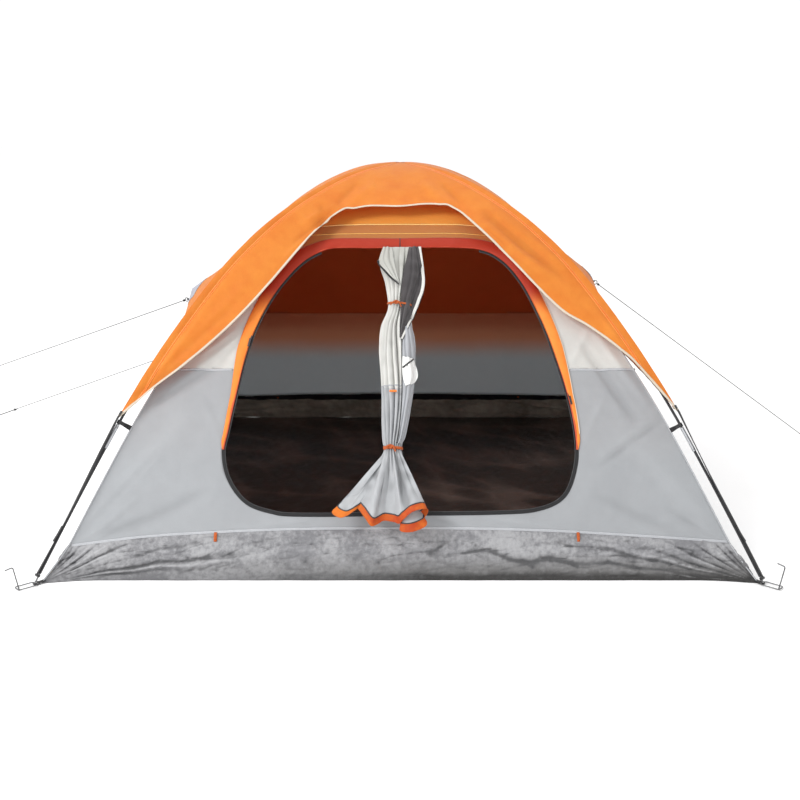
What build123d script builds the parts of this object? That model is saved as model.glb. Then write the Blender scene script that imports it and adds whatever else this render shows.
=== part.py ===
"""Dome tent: two crossing poles, a clipped inner tent with a D-shaped door, and a rain fly.

Frame: millimetres, origin on the ground at the middle of the floor, +Z up, the door faces -Y.
Both poles stand in upright planes through opposite floor corners.  Every cloth surface is a
four-sided vault whose ridges lie in those two planes, at some offset from the poles.
"""
from build123d import *
import os
from math import cos, hypot, pi, radians, sin, sqrt, tan

os.makedirs("parts", exist_ok=True)

# ---------------------------------------------------------------- driving dimensions (mm)
FLOOR_WIDTH = 2440.0
FLOOR_DEPTH = 2130.0
HALF_DIAGONAL = hypot(FLOOR_WIDTH, FLOOR_DEPTH) / 2
CLOTH = 1.0

# Reach of the blocks that cut the cloth: beyond its sides, above its crown, below its floor,
# and from before to behind the front wall.
OUTSIDE = 1500.0
ABOVE_ALL = 1500.0
BELOW_ALL = -10.0
DOOR_CUT = (-1400.0, -100.0)

# Pole: a chain of tangent arcs from the crown down to the foot, one arc per section.
CROWN_HEIGHT = 1378.0
ARC_LENGTHS = [339.5, 679.0, 679.0, 533.0]
ARC_LEANS = [0.0, 18.4, 43.0, 54.4, 56.4]
POLE_DIAMETER = 9.5
POLE_BORE = 6.0
POLE_LIFT = 5.5
FERRULE_DIAMETER = 12.5
FERRULE_BORE = 9.7
FERRULE_HALF = 47.0
SHOCK_CORD_DIAMETER = 3.0

# Cloth surfaces: distance outside the pole line, and the arc stations where the facets meet.
INNER_OFFSET = -50.0
FLY_OFFSET = 22.0
FLAP_GAP = 0.5
CAP_STATION = 130.0
STATIONS = [CAP_STATION, 340.0, 560.0, 790.0, 955.0, 1120.0, 1370.0, 1640.0, 2230.0]
TUB_HEIGHT = 155.0
SEAM_HEIGHTS = {"front": 685.0, "right": 655.0, "rear": 625.0, "left": 655.0}

# Door opening, as seen from the front.
DOOR_SILL = 210.0
DOOR_TOP = 1096.0
DOOR_HALF_BOTTOM = 698.0
DOOR_HALF_TOP = 483.0
DOOR_CENTRE = 9.0
DOOR_LOW_RADIUS = 170.0
DOOR_HIGH_RADIUS = 190.0
DOOR_SEAM_HALF = 300.0
ZIP_WIDTH = 12.0
ZIP_GAP = 2.0
FLAP_WIDTH = 50.0
FLAP_FOOT = 400.0
SEAM_BLOCK = (400.0, 80.0)

# Fly edges, half of each outline from the corner to the middle: (across, height).
FLY_FRONT_EDGE = [(985, 545), (830, 740), (680, 835), (530, 955), (375, 1105), (262, 1215), (180, 1245)]
FLY_REAR_EDGE = [(985, 545), (500, 560), (0, 565)]
FLY_SIDE_EDGE = [(870, 545), (430, 592), (0, 606)]
BINDING_WIDTH = 12.0

# Side panels are drawn out to a point: its place, the half length, reach below and above of the
# pyramid, and how far its root lies inside the fly.
LEFT_PULL = (-898.0, 823.0)
RIGHT_PULL = (817.0, 900.0)
PULL_HALF = 430.0
PULL_BELOW = 210.0
PULL_ABOVE = 240.0
PULL_ROOT = 350.0
PULL_SUNK = 6.0
PATCH_SIZE = (50.0, 170.0, 110.0)
PATCH_LAYER = (0.5, 1.5)

# Corner hardware on the ground.
PIN_DIAMETER = 5.5
PIN_DEPTH = 45.0
EYE_RADIUS = 5.0
EYE_WIRE = 3.0
EYE_HEIGHT = 6.5
RING_WIRE = 4.0
RING_HEIGHT = 6.0
RING_LENGTH = 64.0
RING_WIDTH = 34.0
RING_CORNER = 7.0
WEBBING = 1.5
EYE_WEBBING = (19.0, 7.0, 20.0)
FIT_GAP = 0.5
STRAP_WIDTH = 14.0
HOOK_BORE = 6.1
HOOK_DIAMETER = 11.0
HOOK_LENGTH = 8.0
HOOK_DROP = 4.0
HOOK_MOUTH = 4.0
HOOK_BLOCK = (16.0, 6.0)
HOOK_OUT = 8.0

# Clips that hang the inner tent from the poles.
CLIP_STATIONS = [560.0, 1120.0, 1640.0]
CLIP_DIAMETER = 15.0
CLIP_BORE = 10.2
CLIP_LENGTH = 14.0
CLIP_REACH = 21.0
CLIP_MOUTH = 6.0
CLIP_NECK = 5.0
TAB_WIDTH = 18.0

# Loop over the crossing poles: its width and thickness, and the width of its tab.
APEX_LOOP = (30.0, 12.0)
APEX_TAB = 16.0

# Stakes: bent steel wire, driven through a ring or a cord loop.
STAKE_WIRE = 4.5
STAKE_LENGTH = 185.0
STAKE_ARM = 28.0
STAKE_BEND = 7.0
STAKE_POINT = 12.0
CORNER_STAKE_ABOVE = 82.0
CORNER_STAKE_TILT = 10.0
GUY_STAKE_ABOVE = 34.0
GUY_STAKE_TILT = 15.0

# Guy lines: cord size, where each loop stands on the ground, the gap between the fly and the ring
# of webbing, and the runner on the cord.
CORD = 3.0
LOOP_RADIUS = 4.2
LOOP_HEIGHT = 70.0
GUY_GROUND = {
    "left": (-2750.0, 1130.0),
    "rear_left": (-2138.0, 756.0),
    "right": (1975.0, 149.0),
}
REAR_LOOP_HEIGHT = 420.0
REAR_LOOP_OUT = 5.25
LOOP_GAP = 7.0
LOOP_RING_RADIUS = 8.0
LOOP_RING_WIRE = 3.0
RUNNER_DISTANCE = 170.0
RUNNER_SIZE = (22.0, 11.0, 3.0)
RUNNER_BORE = 3.8
KNOT_DIAMETER = 8.5
KNOT_LENGTH = 7.0

# Gathered door: direction, and sections as (distance down, across, half width, half thickness).
ROLL_FOOT = (-1060.0, 165.0)
ROLL_SECTIONS = [
    (6, 9, 74, 4), (60, 4, 86, 18), (155, 4, 62, 26), (232, 0, 46, 24), (248, 0, 46, 24),
    (320, -15, 58, 30), (415, -13, 70, 32), (606, -12, 58, 30), (783, -25, 34, 24), (811, -25, 34, 24),
    (887, -31, 70, 34), (965, -72, 122, 36), (1042, -74, 165, 36), (1108, -74, 160, 30),
]
ROLL_CLOTH = 3.0
TIE_SPOTS = [(240, 0, 46, 24), (797, -25, 34, 24)]
TIE_WIDTH = 14.0
TIE_THICK = 2.0
TIE_GAP = 0.6
TOGGLE_SPOT = (593.0, -25.0, 32.5)
TOGGLE_SIZE = (26.0, 8.0)

# Zipper sliders: side of the door and height on its edge; plates, bridge, post and pull as
# (across, along, thickness), and how far across, down and out each one lies.
SLIDERS = {"left": (-1, 790.0), "right": (1, 600.0)}
SLIDER_PLATE = (10.5, 16.0, 1.5)
SLIDER_PLATE_ACROSS = 0.75
SLIDER_FRONT = 1.25
SLIDER_BACK = -2.25
SLIDER_BRIDGE = (3.0, 8.0, 5.0)
SLIDER_POST = (4.0, 3.0, 2.0)
SLIDER_PULL = (7.0, 32.0, 1.4)
POST_DOWN = 5.5
PULL_DOWN = 20.0

# Stake loops sewn to the top of the tub: distance from the middle.
PEG_LOOP_SPOTS = [-650.0, 630.0]
PEG_LOOP_SIZE = (14.0, 28.0, 2.0)
PEG_LOOP_EYE = (8.0, 20.0)
PEG_LOOP_LIFT = 0.3

STANDING = (Align.CENTER, Align.CENTER, Align.MIN)

CORNERS = {
    "front_left": (-1, -1),
    "front_right": (1, -1),
    "rear_right": (1, 1),
    "rear_left": (-1, 1),
}


def save(name, *shapes):
    """Write one sub-part as a STEP file and say what it holds."""
    solids = [solid for shape in shapes for solid in shape.solids()]
    part = Compound(label=name, children=solids) if len(solids) > 1 else solids[0]
    part.label = name
    export_step(part, f"parts/{name}.step")
    print(f"{name}: {len(solids)} solids, {sum(s.volume for s in solids):.0f} mm3")


# ---------------------------------------------------------------- the pole line
def pole_arcs():
    """Start reach, start height, start lean, end lean and length of each arc, crown to foot."""
    reach, height, arcs = 0.0, CROWN_HEIGHT, []
    for length, start, end in zip(ARC_LENGTHS, ARC_LEANS[:-1], ARC_LEANS[1:]):
        a, b = radians(start), radians(end)
        radius = length / (b - a)
        arcs.append((reach, height, a, b, length))
        reach += radius * (sin(b) - sin(a))
        height -= radius * (cos(a) - cos(b))
    return arcs


def on_pole(station, offset=0.0):
    """Reach, height and lean at a distance along the pole from its crown."""
    along = station
    arcs = pole_arcs()
    for reach, height, a, b, length in arcs:
        if along <= length or length == arcs[-1][4]:
            break
        along -= length
    radius = length / (b - a)
    lean = a + along / radius
    r = reach + radius * (sin(lean) - sin(a))
    z = height - radius * (cos(a) - cos(lean))
    return r + offset * sin(lean), z + offset * cos(lean), lean


def station_at(height, offset):
    """Distance along the pole where the offset line passes a height."""
    low, high = 0.0, sum(ARC_LENGTHS)
    for _ in range(40):
        middle = (low + high) / 2
        if on_pole(middle, offset)[1] > height:
            low = middle
        else:
            high = middle
    return low


def corner_axis(corner):
    """Unit vector on the ground from the middle of the floor to a corner."""
    sx, sy = CORNERS[corner]
    return Vector(sx * FLOOR_WIDTH / 2, sy * FLOOR_DEPTH / 2, 0) / HALF_DIAGONAL


def in_corner(corner, reach, height, side=0.0):
    """Point at a reach and height in a corner's upright plane, and a distance to its side."""
    out = corner_axis(corner)
    across = Vector(-out.Y, out.X, 0)
    return out * reach + across * side + Vector(0, 0, height)


def corner_plane(corner, station, offset=0.0, lift=0.0):
    """Plane on a leg: x to its side, y outward from the pole, z down along the pole."""
    reach, height, lean = on_pole(station, offset)
    out = corner_axis(corner)
    down = out * cos(lean) + Vector(0, 0, -sin(lean))
    across = Vector(-out.Y, out.X, 0)
    return Plane(origin=in_corner(corner, reach, height + lift), x_dir=across, z_dir=down)


def leg_arc(corner, first, last, offset=0.0, lift=0.0):
    """Arc of a leg between two stations that lie on the same section."""
    points = []
    for station in (first, (first + last) / 2, last):
        reach, height, _ = on_pole(station, offset)
        points.append(in_corner(corner, reach, height + lift))
    return ThreePointArc(*points)


def crown_arc(corner, half, lift):
    """Arc over the crown between two opposite legs."""
    reach, height, _ = on_pole(half)
    start = in_corner(corner, -reach, height + lift)
    end = in_corner(corner, reach, height + lift)
    return ThreePointArc(start, Vector(0, 0, CROWN_HEIGHT + lift), end)


def tube(path, diameter, bore=0.0):
    """Round bar or tube along a path."""
    profile = Circle(diameter / 2)
    if bore:
        profile -= Circle(bore / 2)
    return sweep(Plane(origin=path @ 0, z_dir=path % 0) * profile, path)


SECTION_ENDS = [sum(ARC_LENGTHS[:n]) for n in range(1, 5)]
POLES = {"a": ("front_left", "rear_right", POLE_LIFT), "b": ("front_right", "rear_left", -POLE_LIFT)}


def pole_sections(name):
    """Seven tubular sections from one foot over the crown to the other."""
    first, last, lift = POLES[name]
    near = [leg_arc(first, a, b, lift=lift) for a, b in zip(SECTION_ENDS[:-1], SECTION_ENDS[1:])]
    far = [leg_arc(last, a, b, lift=lift) for a, b in zip(SECTION_ENDS[:-1], SECTION_ENDS[1:])]
    paths = near[::-1] + [crown_arc(last, SECTION_ENDS[0], lift)] + far
    for number, path in enumerate(paths, 1):
        save(f"pole_{name}_section_{number}", tube(path, POLE_DIAMETER, POLE_BORE))


def ferrules():
    """Metal sleeves over the six joints of each pole."""
    sleeves = []
    for first, last, lift in POLES.values():
        for corner in (first, last):
            opposite = last if corner == first else first
            for joint in SECTION_ENDS[:-1]:
                above = leg_arc(corner, joint - FERRULE_HALF, joint, lift=lift)
                below = leg_arc(corner, joint, joint + FERRULE_HALF, lift=lift)
                sleeves.append(tube(Wire([above, below]), FERRULE_DIAMETER, FERRULE_BORE))
    return sleeves


def shock_cords():
    """Elastic cord through the bore of each pole, from foot to foot."""
    cords = []
    for first, last, lift in POLES.values():
        spans = list(zip(SECTION_ENDS[:-1], SECTION_ENDS[1:]))
        spans[-1] = (spans[-1][0], SECTION_ENDS[-1] - PIN_DEPTH - 5)
        near = [leg_arc(first, b, a, lift=lift) for a, b in spans[::-1]]
        far = [leg_arc(last, a, b, lift=lift) for a, b in spans]
        cords.append(tube(Wire(near + [crown_arc(last, SECTION_ENDS[0], lift)] + far), SHOCK_CORD_DIAMETER))
    return cords


# ---------------------------------------------------------------- cloth vaults
def vault_levels(offset):
    """Half width, half depth and height at each facet line, from the ground to the crown."""
    levels = []
    for station in STATIONS:
        reach, height, lean = on_pole(station, offset)
        levels.append((reach, height))
    foot = on_pole(STATIONS[-1], offset)
    levels.append((foot[0] + foot[1] / tan(foot[2]), 0.0))
    share = [(reach / HALF_DIAGONAL, height) for reach, height in levels[::-1]]
    return [(s * FLOOR_WIDTH / 2, s * FLOOR_DEPTH / 2, height) for s, height in share if height >= 0]


def vault(offset):
    """Closed four-sided vault under a surface at an offset from the pole line."""
    rings = []
    for x, y, z in vault_levels(offset):
        rings.append([Vector(-x, -y, z), Vector(x, -y, z), Vector(x, y, z), Vector(-x, y, z)])
    faces = [Face(Wire.make_polygon(rings[0])), Face(Wire.make_polygon(rings[-1]))]
    for low, high in zip(rings[:-1], rings[1:]):
        for n in range(4):
            m = (n + 1) % 4
            faces.append(Face(Wire.make_polygon([low[n], low[m], high[m], high[n]])))
    return Solid(Shell(faces))


def skin(offset):
    """Cloth whose outer face lies at an offset from the pole line."""
    return vault(offset) - vault(offset - CLOTH)


def wedge(side):
    """Upright three-sided block that holds one quarter of the plan: front, rear, left or right."""
    x, y = FLOOR_WIDTH, FLOOR_DEPTH
    ends = {
        "front": [(-x, -y), (x, -y)],
        "right": [(x, -y), (x, y)],
        "rear": [(x, y), (-x, y)],
        "left": [(-x, y), (-x, -y)],
    }[side]
    outline = make_face(Polyline((0, 0), *ends, close=True))
    return extrude(outline, ABOVE_ALL)


def band(low, high):
    """Block between two heights, wider than the tent."""
    return Pos(0, 0, (low + high) / 2) * Box(2 * OUTSIDE, 2 * OUTSIDE, high - low)


def front_prism(outline):
    """Extrude an outline drawn as (across, height) from the front of the tent inward."""
    start, end = DOOR_CUT
    face = Plane(origin=(0, start, 0), x_dir=(1, 0, 0), z_dir=(0, 1, 0)) * mirror(outline, about=Plane.XZ)
    return extrude(face, end - start, dir=(0, 1, 0))


def door_outline(grow):
    """Face of the door opening grown by a width all round, drawn as (across, height)."""
    low = DOOR_SILL - grow
    high = DOOR_TOP + grow
    slope = (DOOR_HALF_BOTTOM - DOOR_HALF_TOP) / (DOOR_TOP - DOOR_SILL)
    side = grow * sqrt(1 + slope * slope)
    half_low = DOOR_HALF_BOTTOM + side + slope * grow
    half_high = DOOR_HALF_TOP + side - slope * grow
    corners = [(-half_low, low), (half_low, low), (half_high, high), (-half_high, high)]
    shape = make_face(Polyline(*corners, close=True))
    lower = shape.vertices().sort_by(Axis.Y)[:2]
    shape = fillet(lower, DOOR_LOW_RADIUS + grow)
    upper = shape.vertices().sort_by(Axis.Y)[-2:]
    return Pos(DOOR_CENTRE, 0) * fillet(upper, DOOR_HIGH_RADIUS + grow)


def door_block(grow):
    """Block through the front wall with the outline of the door."""
    return front_prism(door_outline(grow))


def inner_tent():
    """Floor, tub, lower walls and upper walls of the inner tent."""
    cloth = skin(INNER_OFFSET)
    sheet = vault(INNER_OFFSET) & band(0, CLOTH)
    save("floor_sheet", sheet)
    sides = {side: cloth & wedge(side) for side in ("front", "rear", "left", "right")}
    save("tub_walls", *[panel & band(CLOTH, TUB_HEIGHT) for panel in sides.values()])
    sides["front"] -= door_block(ZIP_WIDTH)
    for side, panel in sides.items():
        save(f"wall_{side}", panel & band(TUB_HEIGHT, SEAM_HEIGHTS[side]))
    save("upper_walls", *[panel & band(SEAM_HEIGHTS[side], ABOVE_ALL) for side, panel in sides.items()])


def door_trim():
    """Zipper along the sides and sill, and the storm flap outside it."""
    ring = door_block(ZIP_WIDTH) - door_block(0)
    deep, high = SEAM_BLOCK
    seam = Pos(0, -wall_depth(DOOR_TOP), DOOR_TOP + high / 4) * Box(2 * DOOR_SEAM_HALF, deep, high)
    save("door_zipper", (skin(INNER_OFFSET) & ring) - seam)
    flap = door_block(ZIP_WIDTH + FLAP_WIDTH) - door_block(ZIP_WIDTH + ZIP_GAP)
    save("storm_flap", skin(INNER_OFFSET + FLAP_GAP + CLOTH) & flap & band(FLAP_FOOT, ABOVE_ALL))


# ---------------------------------------------------------------- rain fly
def mirrored(half):
    """Whole outline from its right half, given from the corner to the middle."""
    left = [(-x, z) for x, z in half[::-1] if x != 0]
    return list(half) + left


def fly_hole(half, raised):
    """Outline under an arched lower edge, raised by a width, drawn as (across, height)."""
    points = [(x * (1 - raised / half[0][0]), z + raised) for x, z in mirrored(half)]
    reach = points[0][0] + OUTSIDE
    corners = [(reach, BELOW_ALL), (reach, points[0][1])]
    return make_face(Polyline(*corners, *points, *[(-x, z) for x, z in corners[::-1]], close=True))


def fly_holes(raised):
    """Blocks that cut the lower edges of the front, rear and side panels."""
    front = Plane(origin=(0, 0, 0), x_dir=(1, 0, 0), z_dir=(0, -1, 0)) * fly_hole(FLY_FRONT_EDGE, raised)
    rear = Plane(origin=(0, 0, 0), x_dir=(-1, 0, 0), z_dir=(0, 1, 0)) * fly_hole(FLY_REAR_EDGE, raised)
    side = Plane(origin=(-OUTSIDE, 0, 0), x_dir=(0, 1, 0), z_dir=(1, 0, 0)) * fly_hole(FLY_SIDE_EDGE, raised)
    blocks = extrude(front, OUTSIDE) + extrude(rear, OUTSIDE)
    return blocks, extrude(side, 2 * OUTSIDE)


def pull_cone(tip, inset):
    """Low pyramid that a side guy line draws out of a fly panel."""
    x, z = tip
    sign = 1 if x > 0 else -1
    point = Vector(x - sign * inset, 0, z)
    root = sign * PULL_ROOT
    ends = [(-PULL_HALF, -PULL_BELOW), (PULL_HALF, -PULL_BELOW)]
    base = ends + [(PULL_HALF, PULL_ABOVE), (-PULL_HALF, PULL_ABOVE)]
    reach = []
    for y, dz in base:
        station = station_at(z + dz, FLY_OFFSET - inset)
        share = on_pole(station, FLY_OFFSET - inset)[0] / HALF_DIAGONAL
        reach.append(Vector(sign * (share * FLOOR_WIDTH / 2 - PULL_SUNK), y, z + dz))
    back = [Vector(root, v.Y, v.Z) for v in reach]
    faces = [Face(Wire.make_polygon(back))]
    for n in range(4):
        m = (n + 1) % 4
        faces.append(Face(Wire.make_polygon([reach[n], reach[m], point])))
        faces.append(Face(Wire.make_polygon([reach[n], reach[m], back[m], back[n]])))
    return Solid(Shell(faces))


def fly_body(offset, inset):
    """Solid under the fly, with both side panels drawn out by their guy lines."""
    return vault(offset) + pull_cone(LEFT_PULL, inset) + pull_cone(RIGHT_PULL, inset)


def rain_fly():
    """Four fly panels and the pale binding along their lower edges."""
    cloth = fly_body(FLY_OFFSET, 0.0) - fly_body(FLY_OFFSET - CLOTH, CLOTH)
    wide, body = cloth, cloth
    for block in fly_holes(0):
        wide -= block
    for block in fly_holes(BINDING_WIDTH):
        body -= block
    save("fly_binding", wide - body)
    for side in ("front", "rear", "left", "right"):
        save(f"fly_{side}", body & wedge(side))


# ---------------------------------------------------------------- corners of the tent
def foot_plane(corner):
    """Plane at the lower end of a pole, z down along it."""
    lift = POLE_LIFT if corner in POLES["a"] else -POLE_LIFT
    return corner_plane(corner, SECTION_ENDS[-1], lift=lift)


def eye_distance(corner):
    """Distance from the end of the pole to the middle of the eye on its pin."""
    plane = foot_plane(corner)
    return (plane.origin.Z - EYE_HEIGHT) / -plane.z_dir.Z


def eye_reach(corner):
    """Distance of the eye from the middle of the floor."""
    plane = foot_plane(corner)
    spot = plane.origin + plane.z_dir * eye_distance(corner)
    return hypot(spot.X, spot.Y)


def corner_pin(corner):
    """Steel pin in the end of the pole, with an eye at its lower end."""
    down = eye_distance(corner)
    rod = Pos(0, 0, -PIN_DEPTH) * Cylinder(PIN_DIAMETER / 2, PIN_DEPTH + down - EYE_RADIUS, align=STANDING)
    eye = Pos(0, 0, down) * Rot(0, 90, 0) * Torus(EYE_RADIUS, EYE_WIRE / 2)
    return foot_plane(corner) * (rod + eye)


def ground_plane(corner, reach, height):
    """Plane at a corner: x outward, z up."""
    return Plane(origin=in_corner(corner, reach, height), x_dir=corner_axis(corner), z_dir=(0, 0, 1))


def corner_ring(corner):
    """Rounded wire ring that joins the pin, the webbing and the stake."""
    outline = RectangleRounded(RING_LENGTH, RING_WIDTH, RING_CORNER).face().outer_wire()
    wire = tube(outline, RING_WIRE)
    return ground_plane(corner, eye_reach(corner) + RING_LENGTH / 2, RING_HEIGHT) * wire


def corner_webbing(corner):
    """Strap from the corner of the floor, wrapped round the ring on both sides of the eye."""
    start = vault_levels(INNER_OFFSET)[0][0] / (FLOOR_WIDTH / 2) * HALF_DIAGONAL + FIT_GAP
    length = eye_reach(corner) - start
    width, gap, tall = EYE_WEBBING
    bore = RING_WIRE / 2 + FIT_GAP
    strap = Pos(-length / 2, 0, 0) * Box(length, width, WEBBING)
    wrap = Rot(90, 0, 0) * (Cylinder(bore + WEBBING, width) - Cylinder(bore, width))
    slot = Box(2 * (EYE_RADIUS + EYE_WIRE), gap, tall)
    hole = Rot(90, 0, 0) * Cylinder(bore, width)
    return ground_plane(corner, eye_reach(corner), RING_HEIGHT) * (strap + wrap - slot - hole)


def stake(above):
    """Wire stake standing on its point, with its bent arm toward +x."""
    below = STAKE_LENGTH - above
    bends = [(0, 0, STAKE_POINT - below), (0, 0, above), (STAKE_ARM, 0, above)]
    path = FilletPolyline(*bends, radius=STAKE_BEND)
    point = Pos(0, 0, -below) * Cone(0.5, STAKE_WIRE / 2, STAKE_POINT, align=STANDING)
    return tube(path, STAKE_WIRE) + point


def stake_plane(spot, outward, tilt, arm):
    """Plane of a stake that leans outward at its head, its arm turned outward (1) or inward (-1)."""
    up = outward * sin(radians(tilt)) + Vector(0, 0, cos(radians(tilt)))
    side = (outward * cos(radians(tilt)) - Vector(0, 0, sin(radians(tilt)))) * arm
    return Plane(origin=spot, x_dir=side, z_dir=up)


def corner_hardware():
    """Pins, rings, webbing and stakes of the four corners."""
    save("corner_pins", *[corner_pin(corner) for corner in CORNERS])
    save("corner_rings", *[corner_ring(corner) for corner in CORNERS])
    save("corner_webbing", *[corner_webbing(corner) for corner in CORNERS])
    for corner, (sx, _) in CORNERS.items():
        reach = eye_reach(corner) + RING_LENGTH - RING_WIRE / 2 - STAKE_WIRE / 2 - 3
        spot = in_corner(corner, reach, RING_HEIGHT)
        plane = stake_plane(spot, corner_axis(corner), CORNER_STAKE_TILT, -sx)
        save(f"corner_stake_{corner}", plane * stake(CORNER_STAKE_ABOVE))
        report_axis(f"corner_stake_{corner}", plane.origin, plane.z_dir)


def report_axis(name, spot, direction):
    """Print a joint's point and direction in metres."""
    place = [round(v / 1000, 5) for v in (spot.X, spot.Y, spot.Z)]
    print(f"axis {name} {place} {[round(v, 6) for v in (direction.X, direction.Y, direction.Z)]}")


# ---------------------------------------------------------------- what hangs on the poles
def pole_clip(plane):
    """Plastic clip snapped on a pole, with a neck toward the inner tent."""
    mouth = Pos(0, CLIP_BORE / 2) * Rectangle(CLIP_MOUTH, CLIP_BORE)
    hook = Circle(CLIP_DIAMETER / 2) - Circle(CLIP_BORE / 2) - mouth
    root = CLIP_BORE / 2 + 1
    neck = Pos(0, -(root + CLIP_REACH) / 2) * Rectangle(CLIP_NECK, CLIP_REACH - root)
    return plane * extrude(hook + neck, CLIP_LENGTH / 2, both=True)


def clips():
    """Three clips and tabs on each of the four legs."""
    hooks, tabs = [], []
    for corner in CORNERS:
        lift = POLE_LIFT if corner in POLES["a"] else -POLE_LIFT
        for station in CLIP_STATIONS:
            hooks.append(pole_clip(corner_plane(corner, station, lift=lift)))
            tabs.append(tab_between(corner, station, lift))
    return hooks, tabs


def tab_between(corner, station, lift):
    """Webbing tab from the neck of a clip to the ridge of the inner tent."""
    plane = corner_plane(corner, station, lift=lift)
    ridge = corner_plane(corner, station, offset=INNER_OFFSET)
    end = -plane.to_local_coords(ridge.origin).Y - FIT_GAP
    start = CLIP_REACH + FIT_GAP
    return plane * (Pos(0, -(start + end) / 2, 0) * Box(WEBBING, end - start, TAB_WIDTH))


def apex_tie():
    """Webbing loop round both poles where they cross, sewn to the top of the inner tent."""
    low = CROWN_HEIGHT - POLE_LIFT - POLE_DIAMETER / 2 - FIT_GAP
    high = CROWN_HEIGHT + POLE_LIFT + POLE_DIAMETER / 2 + FIT_GAP
    top = vault_levels(INNER_OFFSET)[-1][2] + FIT_GAP
    width, deep = APEX_LOOP
    outer = Box(width + 2 * WEBBING, deep, high - low + 2 * WEBBING)
    loop = Pos(0, 0, (low + high) / 2) * (outer - Box(width, deep, high - low))
    tab = Pos(0, 0, (low - WEBBING + top) / 2) * Box(APEX_TAB, WEBBING, low - WEBBING - top)
    return loop + tab


def strap_ends(corner):
    """Upper and lower end of the strap from a fly corner down to its hook."""
    station = station_at(FLY_FRONT_EDGE[0][1] - 3, FLY_OFFSET - CLOTH / 2)
    reach, height, _ = on_pole(station, FLY_OFFSET - CLOTH / 2)
    foot = foot_plane(corner)
    lower = foot.origin + foot.z_dir * (HOOK_DROP - FIT_GAP) + foot.y_dir * HOOK_OUT
    return in_corner(corner, reach, height), lower


def fly_strap(corner):
    """Flat webbing from the corner of the fly to its hook."""
    upper, lower = strap_ends(corner)
    axis = lower - upper
    across = foot_plane(corner).x_dir
    plane = Plane(origin=upper, x_dir=across, z_dir=axis.normalized())
    return plane * Box(STRAP_WIDTH, WEBBING, axis.length, align=STANDING)


def fly_hook(corner):
    """Plastic hook that grips the pin under the end of the pole."""
    mouth = Pos(0, -HOOK_BORE / 2) * Rectangle(HOOK_MOUTH, HOOK_BORE)
    ring = Circle(HOOK_DIAMETER / 2) - Circle(HOOK_BORE / 2) - mouth
    block = Pos(0, HOOK_OUT) * Rectangle(*HOOK_BLOCK)
    return foot_plane(corner) * (Pos(0, 0, HOOK_DROP) * extrude(ring + block, HOOK_LENGTH))


# ---------------------------------------------------------------- guy lines
def pull_patch(tip):
    """Reinforcement sewn over the drawn-out point of a fly panel."""
    x, z = tip
    sign = 1 if x > 0 else -1
    near, far = PATCH_LAYER
    shell = pull_cone(tip, -far) - pull_cone(tip, -near)
    return shell & (Pos(x - sign * PATCH_SIZE[0] / 5, 0, z) * Box(*PATCH_SIZE))


def rear_loop_spot():
    """Place of the loop on the strap of the rear left corner."""
    upper, lower = strap_ends("rear_left")
    share = (upper.Z - REAR_LOOP_HEIGHT) / (upper.Z - lower.Z)
    out = foot_plane("rear_left").y_dir
    return upper + (lower - upper) * share + out * REAR_LOOP_OUT


def guy_roots():
    """Point where each guy loop leaves the fly."""
    return {
        "left": Vector(LEFT_PULL[0] - LOOP_GAP, 0, LEFT_PULL[1]),
        "rear_left": rear_loop_spot(),
        "right": Vector(RIGHT_PULL[0] + LOOP_GAP, 0, RIGHT_PULL[1]),
    }


def guy_frame(name):
    """Start of the cord, unit vector along it and unit vector to its side, with its stake point."""
    root = guy_roots()[name]
    ground = Vector(*GUY_GROUND[name], LOOP_HEIGHT)
    along = (ground - root).normalized()
    side = along.cross(Vector(0, 0, 1)).normalized()
    start = root + along * (2 * LOOP_RING_RADIUS + LOOP_RING_WIRE + 1)
    return start, along, side, ground


def guy_loop(name):
    """Ring of stiff webbing at the end of a guy line."""
    root = guy_roots()[name]
    _, along, side, _ = guy_frame(name)
    centre = root + along * (LOOP_RING_RADIUS + LOOP_RING_WIRE / 2)
    return Plane(origin=centre, x_dir=along, z_dir=side) * Torus(LOOP_RING_RADIUS, LOOP_RING_WIRE / 2)


def guy_knot(name):
    """Knot of the cord at its loop."""
    start, along, _, _ = guy_frame(name)
    ball = Cylinder(KNOT_DIAMETER / 2, KNOT_LENGTH) - Cylinder(CORD / 2 + 0.2, KNOT_LENGTH)
    return Plane(origin=start + along * (KNOT_LENGTH / 2 + 1), z_dir=along) * ball


def guy_line(name):
    """Cord from its loop down to the stake, round it and back up to the knot at the runner."""
    start, along, side, ground = guy_frame(name)
    turn = ground - side * LOOP_RADIUS + along * LOOP_RADIUS
    back = ground - side * 2 * LOOP_RADIUS
    end = back - along * (RUNNER_DISTANCE + RUNNER_SIZE[2] + KNOT_LENGTH + 6)
    path = Wire([Line(start, ground), ThreePointArc(ground, turn, back), Line(back, end)])
    cord = tube(path, CORD)
    section = pi * CORD * CORD / 4
    print(f"guy_line_{name}: length {path.length:.0f}, volume over section {cord.volume / section:.0f}")
    print(f"guy_line_{name} radius {LOOP_RADIUS}")
    print_point(f"guy_line_{name} start", start)
    print_point(f"guy_line_{name} end", end)
    print_point(f"guy_line_{name} stake side", ground)
    print_point(f"guy_line_{name} side", side)
    return cord


def print_point(name, spot):
    """Print a point in metres."""
    print(name, [round(v / 1000, 5) for v in (spot.X, spot.Y, spot.Z)])


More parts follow.
